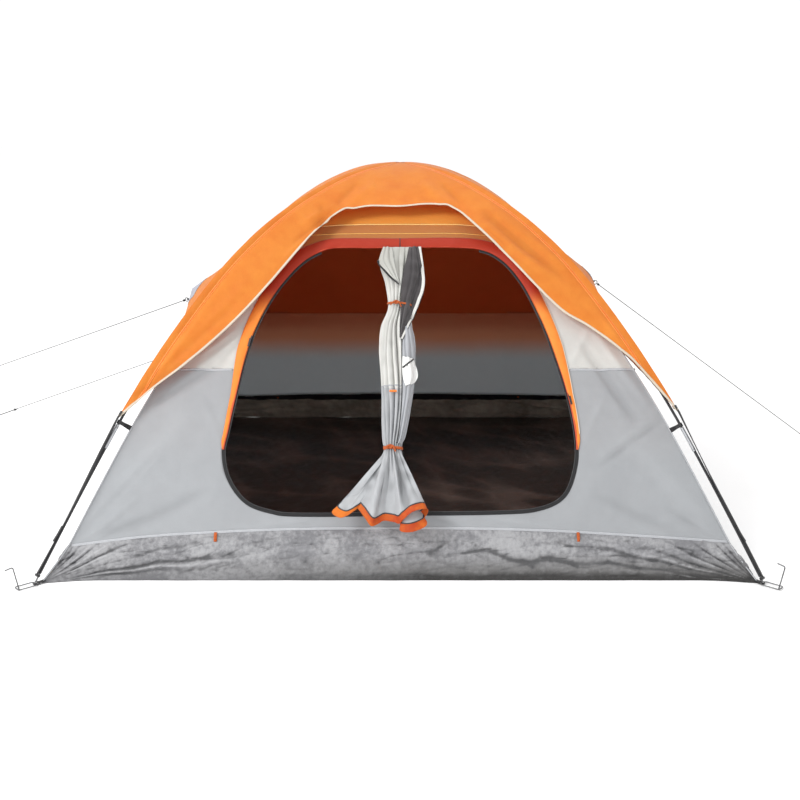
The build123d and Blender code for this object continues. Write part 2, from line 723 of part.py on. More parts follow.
def guy_runner(name):
    """Two-hole plate on both strands, and the knot behind it."""
    _, along, side, ground = guy_frame(name)
    width, height, thick = RUNNER_SIZE
    spot = ground - along * RUNNER_DISTANCE - side * LOOP_RADIUS
    holes = Pos(LOOP_RADIUS, 0) * Circle(RUNNER_BORE / 2) + Pos(-LOOP_RADIUS, 0) * Circle(RUNNER_BORE / 2)
    plate = extrude(RectangleRounded(width, height, height / 2 - 0.2) - holes, thick)
    knot = Circle(KNOT_DIAMETER / 2) - Circle(CORD / 2 + 0.3)
    knot = Pos(-LOOP_RADIUS, 0, -KNOT_LENGTH - 0.2) * extrude(knot, KNOT_LENGTH)
    plane = Plane(origin=spot, x_dir=side, z_dir=along)
    report_axis(f"guy_runner_{name}", spot, along)
    return plane * plate, plane * knot


def guy_stake(name):
    """Stake through the loop of a guy line."""
    _, along, side, ground = guy_frame(name)
    outward = Vector(along.X, along.Y, 0).normalized()
    plane = stake_plane(ground - side * LOOP_RADIUS, outward, GUY_STAKE_TILT, 1)
    report_axis(f"guy_stake_{name}", plane.origin, plane.z_dir)
    return plane * stake(GUY_STAKE_ABOVE)


def guy_lines():
    """Patches, loops, knots, cords, runners and stakes of the three guy lines."""
    save("guy_patches", pull_patch(LEFT_PULL), pull_patch(RIGHT_PULL))
    save("guy_loops", *[guy_loop(name) for name in GUY_GROUND])
    save("guy_knots", *[guy_knot(name) for name in GUY_GROUND])
    for name in GUY_GROUND:
        save(f"guy_line_{name}", guy_line(name))
        save(f"guy_runner_{name}", *guy_runner(name))
        save(f"guy_stake_{name}", guy_stake(name))


# ---------------------------------------------------------------- door
def wall_depth(height):
    """Distance of the front wall's outer face from the middle, at a height."""
    levels = vault_levels(INNER_OFFSET)
    for (_, low_y, low_z), (_, high_y, high_z) in zip(levels[:-1], levels[1:]):
        if low_z <= height <= high_z:
            return low_y + (high_y - low_y) * (height - low_z) / (high_z - low_z)
    return 0.0


def roll_plane():
    """Plane at the top seam of the door: z down along the gathered door, y outward."""
    hinge = Vector(0, -wall_depth(DOOR_TOP), DOOR_TOP)
    foot = Vector(0, *ROLL_FOOT)
    return Plane(origin=hinge, x_dir=(1, 0, 0), z_dir=(foot - hinge).normalized())


def gathered_door():
    """Door cloth gathered in the middle, its ties and its toggle."""
    plane = roll_plane()
    outside = [Pos(x, 0, down) * Ellipse(wide, thick) for down, x, wide, thick in ROLL_SECTIONS]
    inside = [
        Pos(x, 0, down) * Ellipse(wide - ROLL_CLOTH, thick - ROLL_CLOTH)
        for down, x, wide, thick in ROLL_SECTIONS[1:]
    ]
    save("door_roll", plane * (loft(outside, ruled=True) - loft(inside, ruled=True)))
    ties = []
    for down, x, wide, thick in TIE_SPOTS:
        outer = Ellipse(wide + TIE_GAP + TIE_THICK, thick + TIE_GAP + TIE_THICK)
        tie = extrude(outer - Ellipse(wide + TIE_GAP, thick + TIE_GAP), TIE_WIDTH / 2, both=True)
        ties.append(plane * (Pos(x, 0, down) * tie))
    save("door_ties", *ties)
    down, across, out = TOGGLE_SPOT
    peg = Rot(0, 90, 0) * Cylinder(TOGGLE_SIZE[1] / 2, TOGGLE_SIZE[0])
    save("door_toggle", plane * (Pos(across, out + TOGGLE_SIZE[1] / 2, down) * peg))
    report_axis("door_roll", plane.origin, plane.x_dir)


def slider_plane(side, height):
    """Plane on the free edge of the door zipper: x away from the opening, y up along it, z out."""
    slope = (DOOR_HALF_BOTTOM - DOOR_HALF_TOP) / (DOOR_TOP - DOOR_SILL)
    spots = []
    for z in (height - PULL_DOWN, height + PULL_DOWN):
        across = DOOR_CENTRE + side * (DOOR_HALF_BOTTOM - slope * (z - DOOR_SILL))
        spots.append(Vector(across, -wall_depth(z), z))
    up = (spots[1] - spots[0]).normalized()
    fall = Vector(0, spots[1].Y - spots[0].Y, spots[1].Z - spots[0].Z).normalized()
    outward = Vector(0, -fall.Z, fall.Y)
    away = up.cross(outward)
    if away.X * side < 0:
        away = away * -1
    return Plane(origin=(spots[0] + spots[1]) / 2, x_dir=away, z_dir=outward), up


def zipper_slider(name):
    """Slider straddling the free edge of the zipper, with its pull hanging outside."""
    side, height = SLIDERS[name]
    plane, up = slider_plane(side, height)
    report_axis(f"zipper_slider_{name}", plane.origin, up)
    down = -1 if plane.y_dir.Z > 0 else 1
    front = Pos(SLIDER_PLATE_ACROSS, 0, SLIDER_FRONT) * Box(*SLIDER_PLATE)
    back = Pos(SLIDER_PLATE_ACROSS, 0, SLIDER_BACK) * Box(*SLIDER_PLATE)
    bridge = Pos(-SLIDER_BRIDGE[0], 0, (SLIDER_FRONT + SLIDER_BACK) / 2) * Box(*SLIDER_BRIDGE)
    post = Pos(0, down * POST_DOWN, 2 * SLIDER_FRONT) * Box(*SLIDER_POST)
    pull = Pos(0, down * PULL_DOWN, 2 * SLIDER_FRONT + SLIDER_POST[2] / 2) * Box(*SLIDER_PULL)
    return plane * (front + back + bridge + post + pull)


def peg_loops():
    """Flat webbing loops on the front and rear of the tub, below its upper seam."""
    width, height, thick = PEG_LOOP_SIZE
    middle = TUB_HEIGHT - height / 2 - thick
    loops = []
    for facing in (-1, 1):
        rise = Vector(0, facing * (wall_depth(middle + 10) - wall_depth(middle - 10)), 20).normalized()
        outward = Vector(0, facing * rise.Z, -facing * rise.Y)
        for x in PEG_LOOP_SPOTS:
            spot = Vector(x, facing * wall_depth(middle), middle) + outward * PEG_LOOP_LIFT
            plane = Plane(origin=spot, x_dir=(facing, 0, 0), z_dir=outward)
            ring = Rectangle(width, height) - Rectangle(*PEG_LOOP_EYE)
            loops.append(plane * extrude(ring, thick))
    return loops


pole_sections("a")
pole_sections("b")
save("pole_ferrules", *ferrules())
save("shock_cords", *shock_cords())
inner_tent()
door_trim()
gathered_door()
for slider_name in SLIDERS:
    save(f"zipper_slider_{slider_name}", zipper_slider(slider_name))
save("peg_loops", *peg_loops())
rain_fly()
corner_hardware()
clip_hooks, clip_webs = clips()
save("pole_clips", *clip_hooks)
save("clip_tabs", *clip_webs)
save("apex_tie", apex_tie())
save("fly_straps", *[fly_strap(corner) for corner in CORNERS])
save("fly_hooks", *[fly_hook(corner) for corner in CORNERS])
guy_lines()
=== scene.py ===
"""Dome tent: cloth, webbing, zipper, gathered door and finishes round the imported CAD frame."""
from math import cos, hypot, pi, radians, sin

import bmesh
import bpy
import numpy as np
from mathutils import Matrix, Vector


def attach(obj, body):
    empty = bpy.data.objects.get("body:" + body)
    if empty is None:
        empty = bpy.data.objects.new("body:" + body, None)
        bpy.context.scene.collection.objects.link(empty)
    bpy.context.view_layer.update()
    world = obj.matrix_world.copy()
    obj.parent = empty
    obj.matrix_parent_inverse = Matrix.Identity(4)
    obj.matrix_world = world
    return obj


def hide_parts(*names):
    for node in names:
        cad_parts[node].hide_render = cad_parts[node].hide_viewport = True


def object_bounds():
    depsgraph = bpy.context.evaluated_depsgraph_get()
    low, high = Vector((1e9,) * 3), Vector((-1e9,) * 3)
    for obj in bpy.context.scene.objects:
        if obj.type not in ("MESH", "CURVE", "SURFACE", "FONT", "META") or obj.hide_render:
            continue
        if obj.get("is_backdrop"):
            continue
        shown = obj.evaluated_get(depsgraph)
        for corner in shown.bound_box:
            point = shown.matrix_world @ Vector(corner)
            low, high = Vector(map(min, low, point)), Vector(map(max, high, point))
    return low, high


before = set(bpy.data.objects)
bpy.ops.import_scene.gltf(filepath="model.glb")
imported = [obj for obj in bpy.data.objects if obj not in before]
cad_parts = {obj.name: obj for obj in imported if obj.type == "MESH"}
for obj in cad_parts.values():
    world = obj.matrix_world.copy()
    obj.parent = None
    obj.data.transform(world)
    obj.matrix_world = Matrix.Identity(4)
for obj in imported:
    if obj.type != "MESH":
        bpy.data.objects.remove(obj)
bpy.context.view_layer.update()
scene = bpy.context.scene

# ------------------------------------------------------------------ camera
camera_data = bpy.data.cameras.new("camera")
camera_data.lens = 48.465
camera_data.clip_end = 200
camera = bpy.data.objects.new("camera", camera_data)
camera.location = (0.0, -4.565, 1.567)
camera.rotation_euler = (radians(75.38), 0, 0)
scene.collection.objects.link(camera)
scene.camera = camera

# ------------------------------------------------------------------ guy lines (cords first)
CORD = 0.003
LOOP_RADIUS = 0.0042
# Name, start at the tent, end behind the runner, place at the stake, and length of each line.
GUYS = {
    name: dict(start=start, end=end, ground=ground, length=length)
    for name, start, end, ground, length in (
        ("left", (-0.92111, 0.00987, 0.81643), (-2.60459, 1.03109, 0.13114), (-2.75, 1.13, 0.07), 2.470),
        ("rear_left", (-1.08791, 0.9302, 0.41671), (-1.96215, 0.77666, 0.12761), (-2.138, 0.756, 0.07), 1.319),
        ("right", (0.84013, 0.00209, 0.88837), (1.82388, 0.13791, 0.1782), (1.975, 0.149, 0.07), 1.606),
    )
}


def route_of(guy):
    """Control points of a guy line: down to its stake, round it, and back up to its knot."""
    start, ground, end = Vector(guy["start"]), Vector(guy["ground"]), Vector(guy["end"])
    along = (ground - start).normalized()
    side = along.cross(Vector((0, 0, 1))).normalized()
    near = 6 * CORD
    back = ground - side * 2 * LOOP_RADIUS
    return [
        start, start + along * near, ground - along * near, ground + along * 0.001,
        ground + along * 0.0058 - side * 0.0002, ground + along * 0.0078 - side * LOOP_RADIUS,
        back + along * 0.0058 + side * 0.0002, back + along * 0.001, back - along * near,
        end + along * near, end,
    ]


for name, guy in GUYS.items():
    curve = bpy.data.curves.new(f"guy_cord_{name}", "CURVE")
    curve.dimensions = "3D"
    curve.bevel_depth = 1.0
    curve.bevel_resolution = 3
    curve.resolution_u = 8
    curve.use_fill_caps = True
    spline = curve.splines.new("NURBS")
    route = route_of(guy)
    spline.points.add(len(route) - 1)
    for point, place in zip(spline.points, route):
        point.co = (*place, 1)
        point.radius = CORD / 2
    spline.order_u = 3
    spline.use_endpoint_u = True
    cord = guy["cord"] = bpy.data.objects.new(f"guy_cord_{name}", curve)
    scene.collection.objects.link(cord)
    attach(cord, "tent")
    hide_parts(f"guy_line_{name}")

# ------------------------------------------------------------------ pole line and cloth vaults
WIDTH, DEPTH = 2.44, 2.13
HALF_DIAGONAL = hypot(WIDTH, DEPTH) / 2
CROWN_HEIGHT = 1.378
ARC_LENGTHS = (0.3395, 0.679, 0.679, 0.533)
ARC_LEANS = (0.0, 18.4, 43.0, 54.4, 56.4)
POLE_LIFT = 0.0055
# Offsets of the inner tent and the rain fly from the pole line.
INNER, FLY_SKIN = -0.0495, 0.0165
TABLE_STEP = 0.004
# The table runs on past the pole's foot, below the ground.
BEYOND_FOOT = 0.12
CORNERS = {"front_left": (-1, -1), "front_right": (1, -1), "rear_right": (1, 1), "rear_left": (-1, 1)}
# Directions along u and outward on each side of the tent, going round from the door.
AXES = {
    "front": ((1, 0), (0, -1)), "right": ((0, 1), (1, 0)),
    "rear": ((-1, 0), (0, 1)), "left": ((0, -1), (-1, 0)),
}
# Corners at the two ends of each side.
ENDS = dict(zip(AXES, zip(CORNERS, (*list(CORNERS)[1:], "front_left"))))


def metres(rows):
    """Table written in thousandths: in millimetres, and in milliradians for angles."""
    return np.array(rows) / 1000


def unit(vectors):
    """Vectors of length one."""
    return vectors / (np.linalg.norm(vectors, axis=-1, keepdims=True) + 1e-12)


def field(*parts):
    """Points from separate coordinates."""
    return np.stack(np.broadcast_arrays(*parts), -1)


def bell(x):
    """Smooth bump of height one."""
    return np.exp(-(x**2))


def pole_table():
    """Reach, height, lean and distance at every table step along the pole from its crown."""
    reach, height, rows = 0.0, CROWN_HEIGHT, []
    for n, (length, start, end) in enumerate(zip(ARC_LENGTHS, ARC_LEANS[:-1], ARC_LEANS[1:])):
        a, b = radians(start), radians(end)
        radius = length / (b - a)
        for along in np.arange(0, length + (BEYOND_FOOT if n == 3 else 0), TABLE_STEP):
            lean = a + along / radius
            rows.append((reach + radius * (sin(lean) - sin(a)), height - radius * (cos(a) - cos(lean)),
                         lean, sum(ARC_LENGTHS[:n]) + along))
        reach += radius * (sin(b) - sin(a))
        height -= radius * (cos(a) - cos(b))
    return np.array(rows)


POLE = pole_table()


def pole_at(station):
    """Reach, height and lean of the pole at a distance along it."""
    return [np.interp(station, POLE[:, 3], POLE[:, k]) for k in range(3)]


def share_height(station, offset=INNER):
    """Share of the half floor, and height, of the surface at an offset from the pole line."""
    reach, height, lean = pole_at(station)
    return (reach + offset * np.sin(lean)) / HALF_DIAGONAL, height + offset * np.cos(lean)


def station_of(height, offset=INNER):
    """Distance along the pole where the surface passes a height."""
    return np.interp(-np.asarray(height), -share_height(POLE[:, 3], offset)[1], POLE[:, 3])


def on_vault(side, across, station, out=0.0, offset=INNER):
    """Points of one side of a vault: across in metres along it, out along its outward normal."""
    share, z = share_height(station, offset)
    ahead, z_ahead = share_height(station + TABLE_STEP, offset)
    half = (DEPTH if side in ("front", "rear") else WIDTH) / 2
    rise, run = z - z_ahead, (ahead - share) * half
    size = np.hypot(rise, run) + 1e-9
    away = share * half + out * rise / size
    (ax, ay), (ox, oy) = AXES[side]
    return np.stack([across * ax + away * ox, across * ay + away * oy, z + out * run / size], -1)


def half_width(side, station, offset=INNER):
    """Distance from the middle of a side to its ridges."""
    return share_height(station, offset)[0] * (WIDTH if side in ("front", "rear") else DEPTH) / 2


def half_at(side, height, offset=INNER):
    """Half width of a side at a height."""
    return half_width(side, station_of(height, offset), offset)


def on_wall(side, across, height, lift):
    """Points and outward normals on a wall, lifted off its cloth."""
    station, out = station_of(height), wall_out(side, across, height) + lift
    spot = on_vault(side, across, station, out)
    return spot, unit(on_vault(side, across, station, out + 1.0) - spot)


# ------------------------------------------------------------------ shape helpers
def smooth_through(xs, ys, x):
    """Smooth curve through points whose xs increase."""
    xs, ys, x = np.array(xs, float), np.array(ys, float), np.clip(x, xs[0], xs[-1])
    slope = np.gradient(ys, xs)
    n = np.clip(np.searchsorted(xs, x) - 1, 0, len(xs) - 2)
    h = xs[n + 1] - xs[n]
    t = (x - xs[n]) / h
    a, b, c, d = ys[n], ys[n + 1], slope[n] * h, slope[n + 1] * h
    return a + c * t + (3 * (b - a) - 2 * c - d) * t**2 + (2 * (a - b) + c + d) * t**3


def run_of(path):
    """Distance along a path at each of its points."""
    return np.concatenate([[0], np.cumsum(np.linalg.norm(np.diff(path, axis=0), axis=1))])


def ahead_of(loop):
    """Direction along a closed path."""
    return np.roll(loop, -1, 0) - np.roll(loop, 1, 0)


def spline_through(points, count, closed=False):
    """Evenly spaced points on a Catmull-Rom curve through control points."""
    p = np.array(points, float)
    p = np.vstack([p[-1], p, p[:2]] if closed else [2 * p[0] - p[1], p, 2 * p[-1] - p[-2]])
    t = np.linspace(0, 1, 24, endpoint=False)[:, None]
    parts = [
        0.5 * (2 * b + (c - a) * t + (2 * a - 5 * b + 4 * c - d) * t**2 + (3 * b - a - 3 * c + d) * t**3)
        for a, b, c, d in zip(p[:-3], p[1:-2], p[2:-1], p[3:])
    ]
    fine = np.vstack(parts + [p[-2][None]])
    run = run_of(fine)
    at = np.linspace(0, run[-1], count, endpoint=not closed)
    return np.stack([np.interp(at, run, column) for column in fine.T], -1)


def ripple(points, size, seed, waves=14):
    """Smooth irregular field of about -1..1 with features of a size, the same each run."""
    rng = np.random.default_rng(seed)
    total = np.zeros(points.shape[:-1])
    for _ in range(waves):
        way = rng.normal(size=3)
        way *= 2 * pi / size / np.linalg.norm(way) * rng.uniform(0.6, 1.5)
        total += np.sin(points @ way + rng.uniform(0, 2 * pi))
    return total / np.sqrt(waves) * 0.8


def crease(points, start, end, width, depth):
    """Soft fold along a line from start to end, fading at both ends; a valley has a depth below zero."""
    a, b = np.array(start, float), np.array(end, float)
    t = np.clip(((points - a) @ (b - a)) / ((b - a) @ (b - a)), 0, 1)
    far = np.linalg.norm(points - (a + t[..., None] * (b - a)), axis=-1)
    return depth * bell(far / width) * np.clip(4 * t * (1 - t), 0.0, 1.0) ** 0.6


def creases(table, across, height):
    """Sum of the soft folds in a table of millimetres: start, end, width and depth."""
    flat = field(across, height)
    return sum(crease(flat, row[:2], row[2:4], *row[4:]) for row in metres(table)) + 0 * across


def grid_faces(rows, columns, wrap=False, flip=False):
    """Quads of a grid of points stored row by row; wrap joins the last column to the first."""
    faces = []
    for r in range(rows - 1):
        for c in range(columns if wrap else columns - 1):
            d = (c + 1) % columns
            faces.append((r * columns + c, r * columns + d, (r + 1) * columns + d, (r + 1) * columns + c))
    return [face[::-1] for face in faces] if flip else faces


def add_piece(name, points, faces, material, uv, replaces=(), body="tent", fold=None):
    """Mesh object that rides on a body, with its material and the CAD nodes it stands for."""
    mesh = bpy.data.meshes.new(name)
    mesh.from_pydata([tuple(p) for p in np.asarray(points, float).reshape(-1, 3)], [], faces)
    layer = mesh.uv_layers.new(name="UVMap")
    corner = np.zeros(len(mesh.loops), np.int32)
    mesh.loops.foreach_get("vertex_index", corner)
    layer.data.foreach_set("uv", np.asarray(uv, np.float32).reshape(-1, 2)[corner].ravel())
    # Fold depths, from which the cloth finishes paint shade in valleys and highlight on ridges.
    if fold is not None:
        depths = mesh.attributes.new("fold", "FLOAT", "POINT")
        depths.data.foreach_set("value", np.asarray(fold, np.float32).ravel())
    mesh.polygons.foreach_set("use_smooth", [True] * len(mesh.polygons))
    obj = bpy.data.objects.new(name, mesh)
    scene.collection.objects.link(obj)
    obj.data.materials.append(material)
    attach(obj, body)
    if replaces:
        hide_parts(*replaces)
    return obj


def tape(width, thick):
    """Rounded flat cross-section as (across, out) points."""
    w, t = width / 2, thick / 2
    e = min(t, w / 2)
    return [(-w, 0), (-w + e, t), (0, t), (w - e, t), (w, 0), (w - e, -t), (0, -t), (-w + e, -t)]


def rod(radius, count=8):
    """Round cross-section as (across, out) points."""
    return [(radius * sin(2 * pi * k / count), radius * cos(2 * pi * k / count)) for k in range(count)]


def sweep(path, normals, profile, closed=False, scale=1.0):
    """Points, faces and UVs of a cross-section carried along a path."""
    path, profile = np.asarray(path, float), np.array(profile, float)
    tangent = unit(ahead_of(path) if closed else np.gradient(path, axis=0))
    across = unit(np.cross(tangent, np.broadcast_to(np.asarray(normals, float), path.shape)))
    normal = np.cross(across, tangent)
    scale = np.broadcast_to(scale, len(path))[:, None, None]
    points = path[:, None] + scale * (profile[:, :1] * across[:, None] + profile[:, 1:] * normal[:, None])
    n, m = len(path), len(profile)
    faces = grid_faces(n, m, wrap=True)
    if closed:
        faces += [((n - 1) * m + k, (n - 1) * m + (k + 1) % m, (k + 1) % m, k) for k in range(m)]
    else:
        faces += [tuple(range(m))[::-1], tuple((n - 1) * m + k for k in range(m))]
    return points.reshape(-1, 3), faces, field(run_of(path)[:, None], profile[None, :, 0]).reshape(-1, 2)


def add_sweeps(name, parts, material, replaces=(), body="tent"):
    """One piece from several sweeps."""
    points, faces, uv, base = [], [], [], 0
    for p, f, t in parts:
        points.append(p)
        uv.append(t)
        faces += [tuple(i + base for i in face) for face in f]
        base += len(p)
    return add_piece(name, np.vstack(points), faces, material, np.vstack(uv), replaces, body)


def inner_face(obj, thickness, material):
    """Give cloth its thickness, with another finish on its inner face."""
    obj.data.materials.append(material)
    solid = obj.modifiers.new("thickness", "SOLIDIFY")
    solid.thickness = thickness
    solid.offset = -1
    solid.material_offset = 1
    solid.material_offset_rim = 0


# ------------------------------------------------------------------ materials
class Shader:
    """Node material built by calls; a given value is a number, a colour or another node's socket."""

    def __init__(self, name):
        self.material = bpy.data.materials.new(name)
        self.material.use_nodes = True
        self.tree = self.material.node_tree
        self.tree.nodes.clear()

    def set(self, socket, value):
        if isinstance(value, bpy.types.NodeSocket):
            self.tree.links.new(value, socket)
        elif isinstance(value, tuple) and socket.type == "RGBA":
            socket.default_value = (*value, 1)
        else:
            socket.default_value = value

    def node(self, kind, inputs=(), output=0, **settings):
        made = self.tree.nodes.new("ShaderNode" + kind)
        for key, value in settings.items():
            setattr(made, key, value)
        for key, value in dict(inputs).items():
            self.set(made.inputs[key], value)
        return made.outputs[output] if len(made.outputs) else made

    def math(self, operation, a, b=0.0):
        return self.node("Math", {0: a, 1: b}, operation=operation)

    def times(self, a, b):
        return self.math("MULTIPLY", a, b)

    def wave(self, length, pitch):
        return self.math("SINE", self.times(length, 2 * pi / pitch))

    def place(self):
        """Place on the object, in its own coordinates."""
        return self.node("TexCoord", output=3)

    def noise(self, scale, detail=3.0, rough=0.55):
        inputs = {"Vector": self.place(), "Scale": scale, "Detail": detail, "Roughness": rough}
        return self.node("TexNoise", inputs)

    def axis(self, k):
        """One coordinate of the place on the object."""
        return self.node("SeparateXYZ", {0: self.place()}, output=k)

    def uv(self):
        return self.node("SeparateXYZ", {0: self.node("TexCoord", output=2)}).node.outputs

    def within(self, value, low, high):
        """A value of 0 to 1 moved to run from low to high."""
        return self.node("MapRange", {"Value": value, "To Min": low, "To Max": high})

    def ramp(self, factor, low, high):
        limits = {"Value": factor, "From Min": low, "From Max": high}
        return self.node("MapRange", limits, interpolation_type="SMOOTHSTEP")

    def mix(self, factor, a, b):
        made = self.node("Mix", data_type="RGBA").node
        for k, value in ((0, factor), (6, a), (7, b)):
            self.set(made.inputs[k], value)
        return made.outputs[2]

    def over(self, base, color, value, low, high, amount=1.0):
        """Colour laid over the base where a value goes from low to high."""
        return self.mix(self.times(self.ramp(value, low, high), amount), base, color)

    def bump(self, height, distance, strength=1.0, normal=None):
        inputs = {"Height": height, "Distance": distance, "Strength": strength}
        return self.node("Bump", inputs if normal is None else {**inputs, "Normal": normal})

    def surface(self, color, rough, normal, glow=0.0, glow_color=None, **sockets):
        """Principled surface, with a share of light let through the cloth."""
        inputs = {"Base Color": color, "Roughness": rough, "Normal": normal}
        inputs.update({key.replace("_", " "): value for key, value in sockets.items()})
        shader = self.node("BsdfPrincipled", inputs)
        if glow:
            through = self.node("BsdfTranslucent", {"Color": glow_color or color, "Normal": normal})
            shader = self.node("MixShader", {0: glow, 1: shader, 2: through})
        self.node("OutputMaterial", {"Surface": shader})
        return self.material


def tone(color, gain, lift=0.0):
    """Colour made lighter or darker."""
    return tuple(min(1.0, gain * c + lift) for c in color)


def cloth(name, color, shade, rough=0.72, glow=0.0, glow_color=None, weave=0.0011, crinkle=0.0012,
          crinkle_size=0.05, fine=0.0003, zone=None, sheen=0.12, stitch=None, spread=0.35, fold=0.0,
          through=False):
    """Coated woven cloth: threads, small creases, uneven dye and, where given, stitch rows, painted shade in
    fold valleys with painted highlight on fold ridges, or a colour zone, which may tint the light let through as
    well."""
    s = Shader(name)
    u, v = s.uv()[:2]
    threads = s.math("ADD", s.wave(u, weave), s.wave(v, weave))
    small = s.noise(1.0 / crinkle_size, 5.0, 0.6)
    mottle = s.noise(420.0, 2.0)
    tint = s.math("ADD", s.times(s.noise(5.0, 4.0), 0.6), s.times(small, 0.4))
    base = s.mix(s.ramp(tint, 0.5 - spread, 0.5 + spread), shade, color)
    if zone:
        base = zone(s, base)
    if through:
        glow_color = zone(s, glow_color)
    # Painted shade in fold valleys and painted highlight on fold ridges, from the fold depth attribute.
    if fold:
        deep = s.node("Attribute", output=2, attribute_name="fold")
        base = s.over(base, tone(shade, 0.30), deep, 0.0, -1.2, fold)
        base = s.over(base, tone(color, 1.3, 0.02), deep, 0.0, 1.2, 0.6 * fold)
    base = s.over(base, tone(shade, 0.72), mottle, 0.45, 0.75, 0.12)
    normal = s.bump(small, crinkle, 0.7)
    normal = s.bump(mottle, fine, 0.5, normal)
    normal = s.bump(threads, 0.00006, 0.5, normal)
    if stitch:
        row, pitch, thread = stitch
        beside = s.math("ABSOLUTE", s.math("SUBTRACT", s.math("ABSOLUTE", v), row))
        mask = s.times(s.math("LESS_THAN", beside, 0.0007), s.math("GREATER_THAN", s.wave(u, pitch), -0.35))
        base = s.mix(mask, base, thread)
        normal = s.bump(mask, 0.0005, 0.8, normal)
    return s.surface(base, s.within(small, rough - 0.08, rough + 0.1), normal, glow, glow_color,
                     Sheen_Weight=sheen, Specular_IOR_Level=0.3)


def webbing(name, color, shade, rib=0.0014):
    """Woven strap with ribs across it, bar threads and rubbed patches."""
    s = Shader(name)
    u, v = s.uv()[:2]
    weave = s.times(s.wave(u, rib), s.wave(v, rib * 1.6))
    wear = s.noise(260.0)
    base = s.mix(s.ramp(wear, 0.35, 0.75), shade, color)
    base = s.over(base, tone(color, 1.7, 0.02), weave, 0.2, 1.0, 0.35)
    return s.surface(base, s.within(wear, 0.62, 0.88), s.bump(weave, 0.0003, 0.9),
                     Sheen_Weight=0.15, Specular_IOR_Level=0.3)


def plastic(name, color, worn, rough=0.4, grain=900.0, depth=0.00012):
    """Moulded plastic: fine grain, dull patches and scuffs."""
    s = Shader(name)
    texture = s.noise(grain)
    scuff = s.noise(70.0, 5.0, 0.7)
    return s.surface(s.mix(s.ramp(scuff, 0.5, 0.75), color, worn), s.within(scuff, rough - 0.1, rough + 0.25),
                     s.bump(texture, depth, 0.6), Specular_IOR_Level=0.5)


def metal(name, color, tarnish, rough=0.3, grain=400.0):
    """Drawn or rolled metal: fine marks, tarnish and small pits."""
    s = Shader(name)
    marks = s.noise(grain, 4.0)
    spots = s.noise(90.0, 5.0, 0.65)
    return s.surface(s.mix(s.ramp(spots, 0.5, 0.78), color, tarnish), s.within(spots, rough - 0.08, rough + 0.28),
                     s.bump(marks, 0.00008, 0.6), Metallic=1.0)


def by_height(low, high, color, amount=1.0):
    """Colour zone that comes in between two heights; low may be above high to come in downward."""
    def zone(s, base):
        waver = s.math("ADD", s.axis(2), s.times(s.math("SUBTRACT", s.noise(9.0), 0.5), 0.02))
        return s.over(base, color, waver, low, high, amount)
    return zone


def brow_painted_fly_light(s, base):
    """Painted light from the fly on the white cloth above the door: tan, then orange higher up."""
    base = by_height(1.060, 1.105, (0.50, 0.180, 0.044))(s, base)
    return by_height(1.164, 1.176, (0.80, 0.295, 0.036))(s, base)


def tub_painted_shade(s, base):
    """Painted shade on the tub: darker toward the ground, most of all away from its lit left corner."""
    ground_shade = by_height(0.105, 0.02, (0.105, 0.102, 0.100), 0.9)(s, base)
    ground_shade = by_height(0.034, 0.010, (0.016, 0.015, 0.014), 0.9)(s, ground_shade)
    limits = {"From Min": -0.75, "From Max": 0.1, "To Min": 0.35, "To Max": 1.0}
    return s.mix(s.node("MapRange", {"Value": s.axis(0), **limits}), base, ground_shade)


def door_zone(s, base):
    """Pale cloth above the door's seam, with painted shade at its top, under the fly."""
    pale = by_height(DOOR_SEAM_HEIGHT - 0.004, DOOR_SEAM_HEIGHT + 0.004, (0.73, 0.725, 0.69))(s, base)
    return by_height(0.93, 1.05, (0.42, 0.42, 0.38), 0.75)(s, pale)


DOOR_SEAM_HEIGHT = 0.626
FLY = cloth("fly_orange", (0.80, 0.285, 0.036), (0.68, 0.175, 0.014), rough=0.60, glow=0.30,
            glow_color=(0.72, 0.13, 0.01), crinkle=0.0026, fold=0.17)
# Seam tape darker than the fly, partly its own colour and partly painted shade of the crease beside each ridge.
SEAM_ORANGE = cloth("fly_seam", (0.70, 0.155, 0.01), (0.58, 0.11, 0.006), rough=0.66,
                    stitch=(0.0035, 0.0045, (0.9, 0.48, 0.16)))
PIPING = cloth("pale_binding", (0.66, 0.57, 0.45), (0.54, 0.46, 0.35), stitch=(0.0022, 0.0045, (0.45, 0.41, 0.37)))
GREY_WALL = cloth("wall_grey", (0.455, 0.47, 0.487), (0.40, 0.412, 0.43), glow=0.30,
                  glow_color=(0.40, 0.45, 0.50), crinkle=0.0018, fold=0.16)
# White upper walls; their zone paints fly light on the cloth above the door.
WHITE_WALL = cloth("wall_white", (0.74, 0.745, 0.71), (0.65, 0.655, 0.63), glow=0.30,
                   glow_color=(0.6, 0.55, 0.48), crinkle=0.0018, fold=0.16, zone=brow_painted_fly_light)
# Inner face of the white upper walls, painted dark orange with orange light let through: painted light from the
# orange fly.
WARM_IN = cloth("upper_inside", (0.54, 0.125, 0.030), (0.46, 0.10, 0.022), glow=0.45,
                glow_color=(0.90, 0.22, 0.05), crinkle=0.0018)
# Inner face of the grey walls; above about half a metre its colour and the light it lets through are painted
# orange, painted light from the fly that covers the wall there.
GREY_IN = cloth("lower_inside", (0.52, 0.52, 0.50), (0.43, 0.43, 0.42), glow=0.60, glow_color=(0.88, 0.86, 0.82),
                crinkle=0.0018, zone=by_height(0.35, 0.50, (0.92, 0.36, 0.18), 0.95), through=True)
